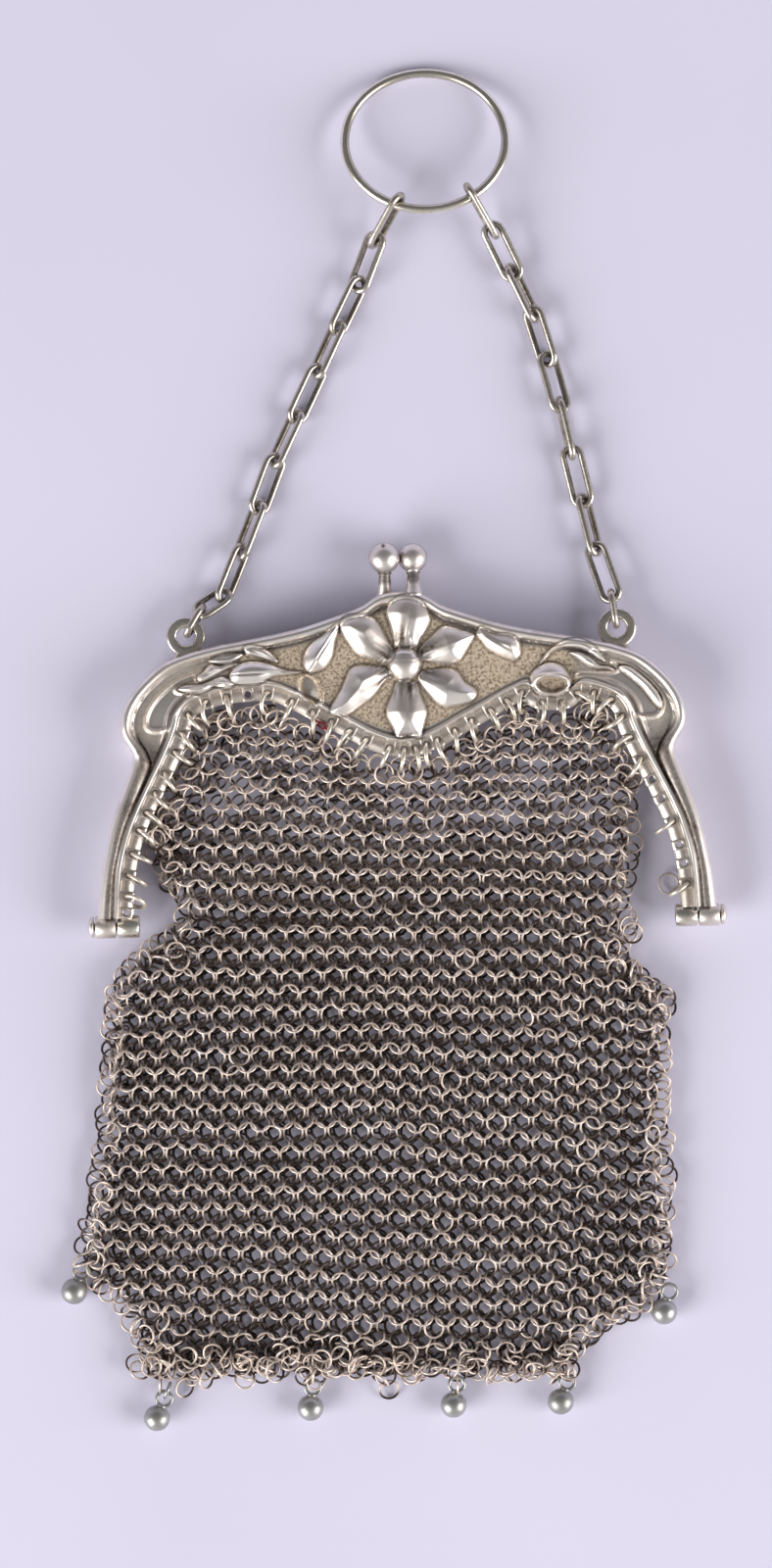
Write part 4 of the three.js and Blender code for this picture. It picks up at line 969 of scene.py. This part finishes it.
LINK_SIDES = 14
for name in [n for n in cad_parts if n.startswith("chain_")]:
    centre, axes, size = loop_axes(name)
    flat = oblong(size[0], size[1], size[2])
    path = centre + flat[:, :1] * axes[0] + flat[:, 1:] * axes[1]
    wire = 1.12 * size[2]
    at_ends = np.abs(flat[:, 0]) > (size[0] / 2 - size[1] / 2)
    verts, faces = tube(path, wire / 2 * (1 + 0.06 * at_ends), LINK_SIDES, True)
    tone = inner_tone(verts, path, centre, LINK_SIDES, 0.95)
    piece = mesh_piece("link_" + name, verts, faces, chain_silver, "chain_silver", tone)
    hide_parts(name)

RING_SIDES = 20
FINGER_WIRE = 1.4
centre, axes, size = loop_axes("finger_ring")
theta = np.linspace(0, 2 * np.pi, 120, endpoint=False)
path = ring_path(centre, axes[0] * (size[0] - FINGER_WIRE) / 2,
                 axes[1] * (size[1] - FINGER_WIRE) / 2, theta)
verts, faces = tube(path, FINGER_WIRE / 2, RING_SIDES, True)
tone = inner_tone(verts, path, centre, RING_SIDES, 0.5)
piece = mesh_piece("finger_ring_wire", verts, faces, ring_silver, "ring_silver", tone)
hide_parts("finger_ring")

# Ball drops on their loops, and the link between one of them and the bag
DROP_R = 2.0
LOOP_R = 1.15
LOOP_WIRE = 0.3
theta = theta[::4]
for name in [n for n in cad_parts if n.startswith("drop_")]:
    if name.endswith("link"):
        centre, axes, size = loop_axes(name)
        half = (size[0] - 2 * LOOP_WIRE) / 2
        verts, faces = tube(ring_path(centre, axes[0] * half, axes[1] * half, theta), LOOP_WIRE, 10, True)
    else:
        points = node_points(name)
        pole = points[points[:, 2].argmin()]
        centre = np.array([pole[0], pole[1], DROP_R])
        gap = np.linalg.norm(points[:, :2] - centre[:2], axis=1)
        far = points[gap > gap.max() - 0.2].mean(axis=0)
        away = unit(np.array([far[0] - centre[0], far[1] - centre[1], 0]))
        middle = centre + away * (DROP_R + LOOP_R)
        path = ring_path(middle, away * LOOP_R, np.cross(away, (0, 0, 1)) * LOOP_R, theta)
        profile = [(0.0, 0), (0.8, 0.02), (0.7, 0.35), (0.45, 0.5), (0.0, 0.55)]
        collar = lathe(profile, centre + away * (DROP_R - 0.2), away, 16)
        verts, faces = merged([tube(path, LOOP_WIRE, 10, True), sphere(centre, DROP_R, 20, 32), collar])
    piece = mesh_piece("ball_" + name, verts, faces, drop_grey, "drop_grey")
    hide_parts(name)


# Mail. Places on it are in an upright frame: mm across and up from a point under the flower

TURN = math.radians(1.2)


def placed(x, y):
    """From the upright frame to the frame that hangs straight below the hinges."""
    return (x * math.cos(TURN) + y * math.sin(TURN) - 0.225,
            y * math.cos(TURN) - x * math.sin(TURN) + 13.425)


# Ring: radius, radius of its wire, width as a share of its length; then the step from ring to ring
RING_R = 1.53
RING_WIRE = 0.182
RING_NARROW = 0.955
PITCH = 3.345
# Each bright line is a row of rings tipped up at their lower edge, just above it, and a flatter row below
LINE_GAP_ABOVE = 0.62
LINE_GAP_BELOW = 1.02
TILT_ABOVE = -41.0
TILT_BELOW = 14.0
BACK_TILT = -0.6
# Height of the lower layer, and of the bag's foot
MAIL_LOW = 0.95
MAIL_FOOT = -81.5
# How far the columns lean, by their place across
LEAN_FROM = -30.0
LEAN = np.array([(-32.0, -0.170), (0.0, -0.100), (31.0, -0.035)])

# Heights of the bright lines of rings, from the top down
LINES = np.array([
    21.0, 18.5, 15.8, 13.4, 10.95, 8.1, 5.55, 2.85, -0.15, -3.0, -6.0, -8.85, -12.0, -14.7, -17.85,
    -21.0, -23.85, -26.55, -29.7, -32.85, -35.85, -38.7, -41.7, -44.7, -48.15, -51.45, -54.6, -57.75,
    -61.05, -64.05, -67.5, -70.65, -73.95, -77.4, -80.4,
])
# How far the lines lie off those heights: one row for each named line, places across in WARP_X
WARP_X = np.array([-44.0, -37.6, -30.1, -22.6, -5.2, 5.0, 13.4, 21.8, 29.9, 40.0])
WARP_LINE = np.array([0, 4, 8, 12, 13, 18, 23, 28, 34])
WARP = np.array([
    (1.2, 1.2, 1.2, 0.6, 0.0, 0.0, 0.6, 0.6, 0.9, 1.2),
    (1.5, 1.5, 1.3, 0.6, 0.0, -0.3, 0.7, 0.5, 0.9, 1.2),
    (1.3, 1.3, 1.2, 1.3, 0.0, 0.0, 0.1, -0.3, 0.4, 0.6),
    (1.2, 1.2, 1.4, 0.3, 0.0, 0.0, -0.1, -0.5, -1.3, -1.5),
    (-0.3, -0.2, 0.1, -0.1, 0.0, 0.0, -0.2, -0.6, -1.8, -2.1),
    (-1.6, -1.2, -0.3, -0.3, 0.3, -0.3, -0.8, -0.9, -2.1, -2.6),
    (-0.2, 0.0, 0.0, -0.2, 0.2, -0.5, -1.4, -1.8, -3.2, -4.0),
    (1.0, 0.7, 0.6, 0.4, -0.2, -0.6, -1.1, -1.2, -3.6, -4.6),
    (1.6, 1.5, 0.9, 0.3, -0.3, -1.0, -1.6, -1.0, -3.0, -3.8),
])

# Edge of the bag: height, left and right edge
BAG = np.array([
    (21.0, -33.0, 34.0),
    (16.5, -31.9, 34.1),
    (7.5, -37.9, 35.7),
    (-1.5, -39.4, 35.6),
    (-8.0, -37.0, 34.9),
    (-12.0, -34.0, 33.8),
    (-16.5, -37.1, 34.0),
    (-18.8, -40.9, 34.2),
    (-22.5, -44.2, 38.6),
    (-27.0, -45.7, 41.2),
    (-30.0, -46.0, 40.5),
    (-45.0, -46.4, 39.8),
    (-52.5, -47.6, 40.5),
    (-60.0, -49.1, 40.9),
    (-66.0, -49.6, 40.9),
    (-69.0, -47.6, 39.4),
    (-72.0, -44.2, 36.4),
    (-75.0, -42.4, 31.9),
    (-80.2, -40.1, 26.6),
    (-84.0, -39.4, 26.6),
])
# Height of the mail off the floor, by height up the bag
BAG_TOP = np.array([(18.0, 4.4), (8.0, 4.6), (-4.0, 5.0), (-18.0, 5.2), (-37.0, 4.7), (-57.0, 4.0),
                    (-72.0, 3.2), (-82.0, 2.5)])
# Creases: middle, half length, half width, depth, direction in degrees
CREASES = [
    (-15.0, -12.6, 20.0, 1.3, 0.75, 0),
    (-29.0, -15.5, 9.0, 1.6, 0.8, 22),
    (-44.0, -45.0, 22.0, 1.5, 0.9, 91),
    (34.6, -46.0, 19.0, 1.7, 0.9, 88),
    (29.0, -58.5, 9.0, 2.2, 0.6, -50),
    (-27.0, -76.5, 11.0, 2.4, 0.7, 8),
    (5.0, -30.0, 16.0, 1.2, 0.3, -6),
    (-18.0, -50.0, 16.0, 1.4, 0.3, 5),
    (-31.0, 2.5, 9.0, 1.6, 0.5, 62),
    (31.0, 3.5, 9.0, 1.6, 0.4, -66),
]
# Line that the loose rings of the rim follow, anticlockwise from the upper left
EDGE = np.array([
    (-33.5, 15.5), (-35.0, 12.0), (-37.5, 7.0), (-39.0, 0.0), (-37.0, -3.0), (-36.8, -8.0), (-33.5, -12.0),
    (-36.8, -16.5), (-40.4, -18.8), (-43.6, -22.5), (-45.0, -27.0), (-45.6, -37.5), (-45.9, -45.0),
    (-47.2, -52.5), (-48.8, -60.0), (-49.2, -66.0), (-47.2, -69.0), (-43.8, -72.0), (-42.0, -75.0),
    (-39.8, -80.0), (-39.0, -82.0), (-30.0, -82.6), (-18.0, -82.2), (-6.0, -82.8), (6.0, -82.4),
    (18.0, -82.6), (26.4, -80.2), (29.6, -76.5), (36.0, -73.2), (39.0, -69.0), (40.5, -64.5),
    (40.4, -52.5), (39.5, -37.5), (40.0, -28.5), (40.9, -25.4), (38.2, -22.5), (34.6, -21.0),
    (33.9, -16.5), (35.2, -14.2), (34.6, -9.0), (35.4, -6.0), (36.0, -1.5), (35.2, 4.5), (36.0, 9.0),
    (33.7, 13.5),
])
# Where rings carry the loops of the drops, and single rings that lie apart with their heights
CARRIERS = [(-37.4, -84.3), (-49.1, -66.0), (-14.0, -83.1), (8.2, -84.6), (25.1, -82.2), (39.2, -67.8)]
SINGLE_RINGS = [(-2.3, -85.5, 0.75), (-34.9, -18.2, 4.6), (-34.3, -19.4, 4.6), (-37.0, -5.0, 0.75),
                (-38.2, -3.4, 0.75), (40.6, -7.8, 0.75), (34.9, -15.2, 4.6), (-36.2, -7.6, 0.75),
                (-38.0, -1.0, 4.6)]


def bag_edges(y):
    """Left and right edge of the bag at a height."""
    return (np.interp(y, BAG[::-1, 0], BAG[::-1, 1]), np.interp(y, BAG[::-1, 0], BAG[::-1, 2]))


def crease(x, y):
    """How deep the creases are at a place."""
    depth = np.zeros(np.shape(x))
    for fx, fy, length, wide, deep, turn in CREASES:
        c, s = math.cos(math.radians(turn)), math.sin(math.radians(turn))
        along = ((x - fx) * c + (y - fy) * s) / length
        across = ((y - fy) * c - (x - fx) * s) / wide
        depth = depth + deep * np.exp(-along ** 4 - across ** 2)
    return depth


def bag_top(x, y):
    """Height of the upper layer, with its soft waves and creases."""
    xy = np.stack([np.ravel(x), np.ravel(y)], axis=1)
    z = np.interp(y, BAG_TOP[::-1, 0], BAG_TOP[::-1, 1])
    z = z + (0.30 * value_noise(xy, 9.0, 11) + 0.14 * value_noise(xy, 3.6, 12)).reshape(np.shape(x))
    return z - crease(x, y)


def line_height(line, x):
    """Height of a line of rings at a place across, with its waves."""
    at = np.clip(np.interp(line, WARP_LINE, np.arange(len(WARP_LINE))), 0, len(WARP_LINE) - 1.001)
    low = at.astype(int)
    share = at - low
    waves = np.zeros(len(x))
    for row in range(len(WARP_LINE) - 1):
        here = low == row
        first = np.interp(x[here], WARP_X, WARP[row])
        second = np.interp(x[here], WARP_X, WARP[row + 1])
        waves[here] = first * (1 - share[here]) + second * share[here]
    return LINES[line] + waves


def free_gap(xy):
    """Distance inwards from the flange's free edge; large below the hinges."""
    below = -6.0
    ring = np.concatenate([free_edge, [[free_edge[-1, 0], below], [free_edge[0, 0], below]]])
    return np.where(xy[:, 1] < 1.0, 9.0, inside_distance(xy, ring))


def ring_frames(side, down, normal, tilt, roll, yaw):
    """Two directions in the plane of each ring: across, and up along the mail."""
    across = unit(side * np.cos(roll)[:, None] + normal * np.sin(roll)[:, None] + down * yaw[:, None])
    out = unit(np.cross(across, down))
    along = unit(np.cross(out, across))
    return across, along * np.cos(tilt)[:, None] + out * np.sin(tilt)[:, None]


def mail_lattice(front):
    """Places of the rings of one side before any are bent over or left out, and which row each is of."""
    grid = np.meshgrid(np.arange(len(LINES)), np.arange(-17, 18), (0, 1), indexing="ij")
    line, column, kind = (part.ravel() for part in grid)
    u = (column + 0.5 * kind + (0 if front else 0.25)) * PITCH
    y = LINES[line]
    x = u + np.interp(u, LEAN[:, 0], LEAN[:, 1]) * (LEAN_FROM - y)
    y = line_height(line, x) + np.where(kind == 0, LINE_GAP_ABOVE, -LINE_GAP_BELOW)
    xy = np.stack([x, y], axis=1)
    return x + 0.42 * value_noise(xy, 12.0, 21), y + 0.30 * value_noise(xy, 10.0, 22), kind


def bent_over(x, high, left, right):
    """Rings near the sides turn over the bag's edge; gives place, height, direction and which go too far."""
    spare = 1.6
    farthest = 1.7
    bend = np.clip((high - MAIL_LOW) / 2, 0.7, 1.9) + 0.6
    z = high.copy()
    normal = np.tile([0.0, 0.0, 1.0], (len(x), 1))
    past = np.zeros(len(x), dtype=bool)
    for sign, edge in ((-1, left), (1, right)):
        start = edge - sign * (bend + spare)
        over = (x - start) * sign
        on = over > 0
        angle = np.clip(over / bend, 0, math.pi)
        past |= on & (over / bend > farthest)
        x = np.where(on, start + sign * bend * np.sin(angle), x)
        z = np.where(on, high - bend * (1 - np.cos(angle)) * (high - MAIL_LOW) / (2 * bend), z)
        normal[:, 0] = np.where(on, sign * np.sin(angle) * 0.8, normal[:, 0])
        normal[:, 2] = np.where(on, np.cos(angle), normal[:, 2])
    return x, z, normal, past


def mail_rings(front):
    """Rings of one side: places, two directions in each ring's plane, and how dark each is."""
    x, y, kind = mail_lattice(front)
    count = len(x)
    left, right = bag_edges(y)
    if front:
        high = np.maximum(bag_top(x, y) - MAIL_LOW, 1.25) + 0.14 * (kind == 0)
        x, z, normal, past = bent_over(x, high, left, right)
        keep = ~past
    else:
        z = np.full(count, MAIL_LOW)
        normal = np.tile([0.0, 0.0, 1.0], (count, 1))
        side_gap = 2.2
        keep = (x > left + side_gap) & (x < right - side_gap)
    keep &= y > MAIL_FOOT + 0.6 * np.sin(x * 0.5)
    px, py = placed(x, y)
    gap = free_gap(np.stack([px, py], axis=1))
    chance = rng.uniform(0, 1, count)
    if front:
        keep &= gap > np.where(chance < 0.25, 2.6, 1.35)
    else:
        keep &= (gap > 3.4) & (chance > 0.7 * ramp(y, -8.0, 8.0))
    by_flange = ramp(3.4 - gap, 0.0, 2.0)
    by_foot = ramp(-y, 74.0, 80.0)
    by_side = ramp(np.maximum(x - right, left - x), -8.0, -3.0)
    loose = np.clip(by_flange + by_foot + 0.6 * by_side, 0, 1.3)
    x, y, z, px, py, kind, normal, loose = (part[keep] for part in (x, y, z, px, py, kind, normal, loose))
    # Painted shade: front rings darker in the creases; back rings darker overall and more so towards the
    # bottom, for the shade under the front layer, partly tarnish.
    dark = 0.30 * np.clip(crease(x, y), 0, 1) if front else 0.35 + 0.55 * ramp(-y, -6.0, 30.0)
    count = len(x)
    wild = np.where(rng.uniform(0, 1, count) < 0.045, 2.6, 1.0) * (1 + 1.6 * loose)
    px = px + rng.normal(0, 0.085, count) * wild
    py = py + rng.normal(0, 0.075, count) * wild
    z = z + rng.normal(0, 0.05, count) * wild
    normal = unit(normal)
    down = np.tile([0.0, 1.0, 0.0], (count, 1))
    tilt = np.radians(np.where(kind == 0, TILT_ABOVE, TILT_BELOW)) + rng.normal(0, 0.085, count) * wild
    if not front:
        tilt = tilt * BACK_TILT
    roll = rng.normal(0, 0.09, count) * wild
    yaw = rng.normal(0, 0.06, count) * wild
    across, along = ring_frames(unit(np.cross(down, normal)), down, normal, tilt, roll, yaw)
    return np.stack([px, py, z], axis=1), across, along, dark


def edge_rings():
    """Loose and turned rings round the rim of the bag, each with its place and directions."""
    run = run_length(EDGE)
    places = np.arange(0.8, run[-1], 1.45)
    x = np.interp(places, run, EDGE[:, 0])
    y = np.interp(places, run, EDGE[:, 1])
    heading = unit(np.stack([np.gradient(x), np.gradient(y)], axis=1))
    inwards = np.stack([-heading[:, 1], heading[:, 0]], axis=1)
    count = len(places)
    depth = rng.uniform(-0.2, 1.2, count) + 0.9 * (y > -12)
    x = x + inwards[:, 0] * depth
    y = y + inwards[:, 1] * depth
    z = np.where(y > 12, 3.2, 1.45) + rng.uniform(-0.35, 0.55, count)
    across = unit(np.column_stack([heading, rng.normal(0, 0.35, count)]))
    lean = rng.normal(0, 0.5, count)
    along = square_to(np.column_stack([inwards * np.cos(lean)[:, None], np.sin(lean)]), across)
    groups = [(x, y, z, across, along)]
    # Clumps along the ragged lower edge
    count = 95
    clump = np.floor(rng.uniform(0, 19, count))
    x = -38.5 + clump * 3.45 + rng.normal(0, 0.95, count)
    y = -81.6 + 1.0 * np.sin(clump * 2.4) + rng.normal(0, 0.9, count)
    z = 1.5 + rng.uniform(-0.4, 1.3, count)
    flatter = np.array([1.0, 1.0, 0.55])
    across = unit(rng.normal(0, 1, (count, 3)) * flatter)
    along = square_to(rng.normal(0, 1, (count, 3)) * flatter, across)
    groups.append((x, y, z, across, along))
    # One ring upright through the loop of each drop, and one above it; at the corners these lean inwards
    for x, y in CARRIERS:
        at_corner = y > -70
        inwards = unit(np.array([0.0 - x * at_corner, 1.0 + 12.0 * at_corner, 0]))
        sideways = np.array([-inwards[1], inwards[0], 0])
        step = inwards * 1.9
        rising = unit(inwards + np.array([0, 0, 0.5]))
        groups.append(((x, x + step[0]), (y, y + step[1]), (2.0, 2.2),
                       (inwards, sideways), ((0, 0, 1.0), rising)))
    for x, y, z in SINGLE_RINGS:
        tip = rng.normal(0, 0.16, 2)
        across = unit(np.array([[1.0, 0.0, tip[0]]]))
        along = square_to(np.array([[0.0, 1.0, tip[1]]]), across)
        groups.append(([x], [y], [z], across, along))
    x, y, z, across, along = (np.concatenate(part) for part in zip(*groups))
    return np.column_stack([*placed(x, y), z]), across, along, np.full(len(x), 0.08)


def mail_piece(name, rings, material, major, minor, thick=1.0):
    """Rings of mail as one mesh, with painted shade, partly tarnish, where each dips under its neighbours.
    """
    centre, across, along, dark = rings
    count = len(centre)
    radius = np.full(count, RING_R) * rng.normal(1, 0.016, count)
    wire = np.full(count, RING_WIRE * thick) * rng.normal(1, 0.04, count)
    narrow = RING_NARROW * rng.normal(1.0, 0.02, count)
    verts, faces = wire_rings(centre, across, along, radius, wire, major, minor, narrow)
    verts[:, 2] = np.maximum(verts[:, 2], 0.03)
    theta = np.repeat(np.linspace(0, 2 * np.pi, major, endpoint=False), minor)
    # Painted shade, partly tarnish: each ring darkens on the part that dips below its neighbours.
    rise = np.sign(along[:, 2])[:, None] * np.sin(theta)[None]
    slope = np.abs(along[:, 2])[:, None]
    deep = np.where(slope > 0.45, 1 - ramp(rise, -0.55, 0.30), 1 - ramp(rise, -0.60, 0.50))
    deep = (0.92 * deep * (slope > 0.07)).ravel()
    tone = np.stack([np.clip(deep + np.repeat(dark, major * minor), 0, 1), 0 * deep], axis=1)
    return mesh_piece(name, verts, faces, material, "mail", tone)


front_rings = mail_rings(True)
back_rings = mail_rings(False)
thirds = np.array_split(np.argsort(-front_rings[0][:, 1]), 3)
for i, third in enumerate(thirds):
    rings = [part[third] for part in front_rings]
    mail_piece("mail_front_%d" % (i + 1), rings, mail, 22, 6)
mail_piece("mail_edge", edge_rings(), mail, 24, 7)
mail_piece("mail_back", back_rings, mail_back_shaded, 16, 4, thick=1.2)
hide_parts("mesh_bag")


JUMP_R = 1.62
JUMP_WIRE = 0.335


def jump_rings():
    """Thicker rings that sew the mail to the flange, and the small rings that hang from them."""
    centres, outs, ups, small = [], [], [], []
    for spot in JUMPS_LEFT + JUMPS_RIGHT:
        i = nearest_hole(spot)
        hole = hole_line[i]
        way = unit(edge_in[i] + np.array([0.0, -0.45]))
        turn = rng.normal(0, 0.14)
        way = np.array([way[0] * math.cos(turn) - way[1] * math.sin(turn),
                        way[0] * math.sin(turn) + way[1] * math.cos(turn), 0])
        up = np.array([0, 0, 1.0])
        side = np.cross(up, way)
        lean = rng.normal(0, 0.28)
        centre = np.array([*hole, FRONT_FLANGE - 0.25]) + way * 1.45 - np.array([0, 0, 0.2])
        centres.append(centre)
        outs.append(unit(way + np.array([0, 0, -0.25])))
        ups.append(unit(up * math.cos(lean) + side * math.sin(lean)))
        if hole[1] > 16:
            for swing in (-1, 1):
                spot = centre + way * 2.1 + side * swing * 1.1 + np.array([0, 0, -0.75])
                small.append(spot + rng.normal(0, 0.25, 3))
    outs = np.array(outs)
    ups = square_to(np.array(ups), outs)
    count = len(centres)
    radius = np.full(count, JUMP_R)
    wire = np.full(count, JUMP_WIRE)
    thick = wire_rings(np.array(centres), outs, ups, radius, wire, 32, 10, np.ones(count))
    count = len(small)
    across = unit(np.stack([np.ones(count), rng.normal(0, 0.4, count), rng.normal(0, 0.5, count)], axis=1))
    along = np.stack([rng.normal(0, 0.3, count), np.ones(count), rng.normal(0.3, 0.5, count)], axis=1)
    return thick, (np.array(small), across, square_to(along, across), np.full(count, 0.1))


# Two scraps of red thread caught at the flange
THREADS = (
    [(-13.7, 31.15, 5.45), (-13.0, 30.65, 5.6), (-12.3, 30.5, 5.5), (-11.6, 29.9, 5.5), (-11.0, 29.4, 5.3)],
    [(-13.2, 30.3, 5.3), (-12.5, 29.7, 5.5), (-11.9, 29.6, 5.45), (-11.2, 29.1, 5.2)],
)
THREAD_R = 0.17


def thread_material():
    """Dull red thread."""
    material, tree, shader = node_material("thread_red")
    strands = noise_node(tree, 5200.0, 3.0, object_place(tree))
    share = map_range(tree, strands, 0.35, 0.65, 0.0, 1.0)
    colour = mix_colour(tree, share, (0.20, 0.015, 0.03), (0.42, 0.05, 0.08))
    tree.links.new(colour, shader.inputs["Base Color"])
    shader.inputs["Roughness"].default_value = 0.85
    return material


verts, faces = merged([tube(smooth_line(points, 24), THREAD_R, 8, False) for points in THREADS])
mesh_piece("thread", verts, faces, thread_material(), "mail")
thick, small = jump_rings()
mesh_piece("jump_rings", *thick, jump_silver, "mail")
mail_piece("mail_top", small, mail, 24, 8)


# Floor, light and camera

def stage_material():
    """Pale lilac paper."""
    material, tree, shader = node_material("paper")
    soft = noise_node(tree, 9.0, 3.0, object_place(tree))
    share = map_range(tree, soft, 0.3, 0.7, 0.0, 1.0)
    colour = mix_colour(tree, share, (0.74, 0.72, 0.89), (0.78, 0.76, 0.92))
    tree.links.new(colour, shader.inputs["Base Color"])
    shader.inputs["Roughness"].default_value = 0.9
    shader.inputs["Specular IOR Level"].default_value = 0.2
    return material


FLOOR_REACH = 3.0
FLOOR_Z = -0.00002
corners = [(x * FLOOR_REACH, y * FLOOR_REACH, FLOOR_Z) for x, y in ((-1, -1), (1, -1), (1, 1), (-1, 1))]
floor_mesh = bpy.data.meshes.new("floor")
floor_mesh.from_pydata(corners, [], [(0, 1, 2, 3)])
floor = bpy.data.objects.new("floor", floor_mesh)
bpy.context.scene.collection.objects.link(floor)
floor_mesh.materials.append(stage_material())


def area_light(name, place, power, colour):
    """A soft lamp that faces the middle of the purse."""
    data = bpy.data.lights.new(name, "AREA")
    data.shape = "RECTANGLE"
    data.size = 1.3
    data.size_y = 1.1
    data.energy = power
    data.color = colour
    light = bpy.data.objects.new(name, data)
    light.location = place
    light.rotation_euler = (-Vector(place)).to_track_quat("-Z", "Y").to_euler()
    bpy.context.scene.collection.objects.link(light)


def from_angle(azimuth, elevation, distance):
    """A place round the purse, from degrees."""
    a, e = math.radians(azimuth), math.radians(elevation)
    return (distance * math.cos(a) * math.cos(e), distance * math.sin(a) * math.cos(e),
            distance * math.sin(e))


LAMP_HEIGHT_ANGLE = 25
LAMP_AWAY = 1.8
area_light("lamp_left", from_angle(214, LAMP_HEIGHT_ANGLE, LAMP_AWAY), 32.0, (1.0, 0.985, 0.965))
area_light("lamp_right", from_angle(-20, LAMP_HEIGHT_ANGLE, LAMP_AWAY), 29.0, (1.0, 0.965, 0.95))


def room_world():
    """A dim room, lighter near the table, with the pale sheet sweeping up at the far side."""
    world = bpy.data.worlds.new("room")
    world.use_nodes = True
    tree = world.node_tree
    place = tree.nodes.new("ShaderNodeTexCoord").outputs["Generated"]
    parts = tree.nodes.new("ShaderNodeSeparateXYZ")
    tree.links.new(place, parts.inputs[0])
    near = map_range(tree, parts.outputs[1], -0.9, 0.10, 0.52, 0.12)
    low = map_range(tree, parts.outputs[2], 0.30, 0.42, 1.0, 0.0)
    ahead = map_range(tree, parts.outputs[1], 0.25, 0.55, 0.0, 1.0)
    sheet = math_node(tree, "MULTIPLY", low, ahead)
    rim = map_range(tree, parts.outputs[2], 0.05, 0.45, 0.16, 0.0)
    room = math_node(tree, "ADD", near, rim)
    grey = tree.nodes.new("ShaderNodeCombineColor")
    tree.links.new(room, grey.inputs[0])
    tree.links.new(math_node(tree, "MULTIPLY", room, 0.98), grey.inputs[1])
    tree.links.new(math_node(tree, "MULTIPLY", room, 0.97), grey.inputs[2])
    colour = mix_colour(tree, sheet, grey.outputs[0], (0.85, 0.82, 0.99))
    tree.links.new(colour, tree.nodes["Background"].inputs["Color"])
    tree.nodes["Background"].inputs["Strength"].default_value = 0.95
    bpy.context.scene.world = world


room_world()

# Camera straight over the sheet, turned a little, as in the photo (metres)
VIEW_HEIGHT = 0.240
DISTANCE = 0.70
SENSOR = 36.0
camera_data = bpy.data.cameras.new("camera")
camera_data.sensor_fit = "VERTICAL"
camera_data.sensor_height = SENSOR
camera_data.lens = SENSOR * DISTANCE / VIEW_HEIGHT
camera = bpy.data.objects.new("camera", camera_data)
camera.location = (-0.00021, -0.00572, DISTANCE + 0.003)
camera.rotation_euler = (0.0, 0.0, -TURN)
bpy.context.scene.collection.objects.link(camera)
bpy.context.scene.camera = camera
bpy.context.scene.view_settings.view_transform = "Standard"
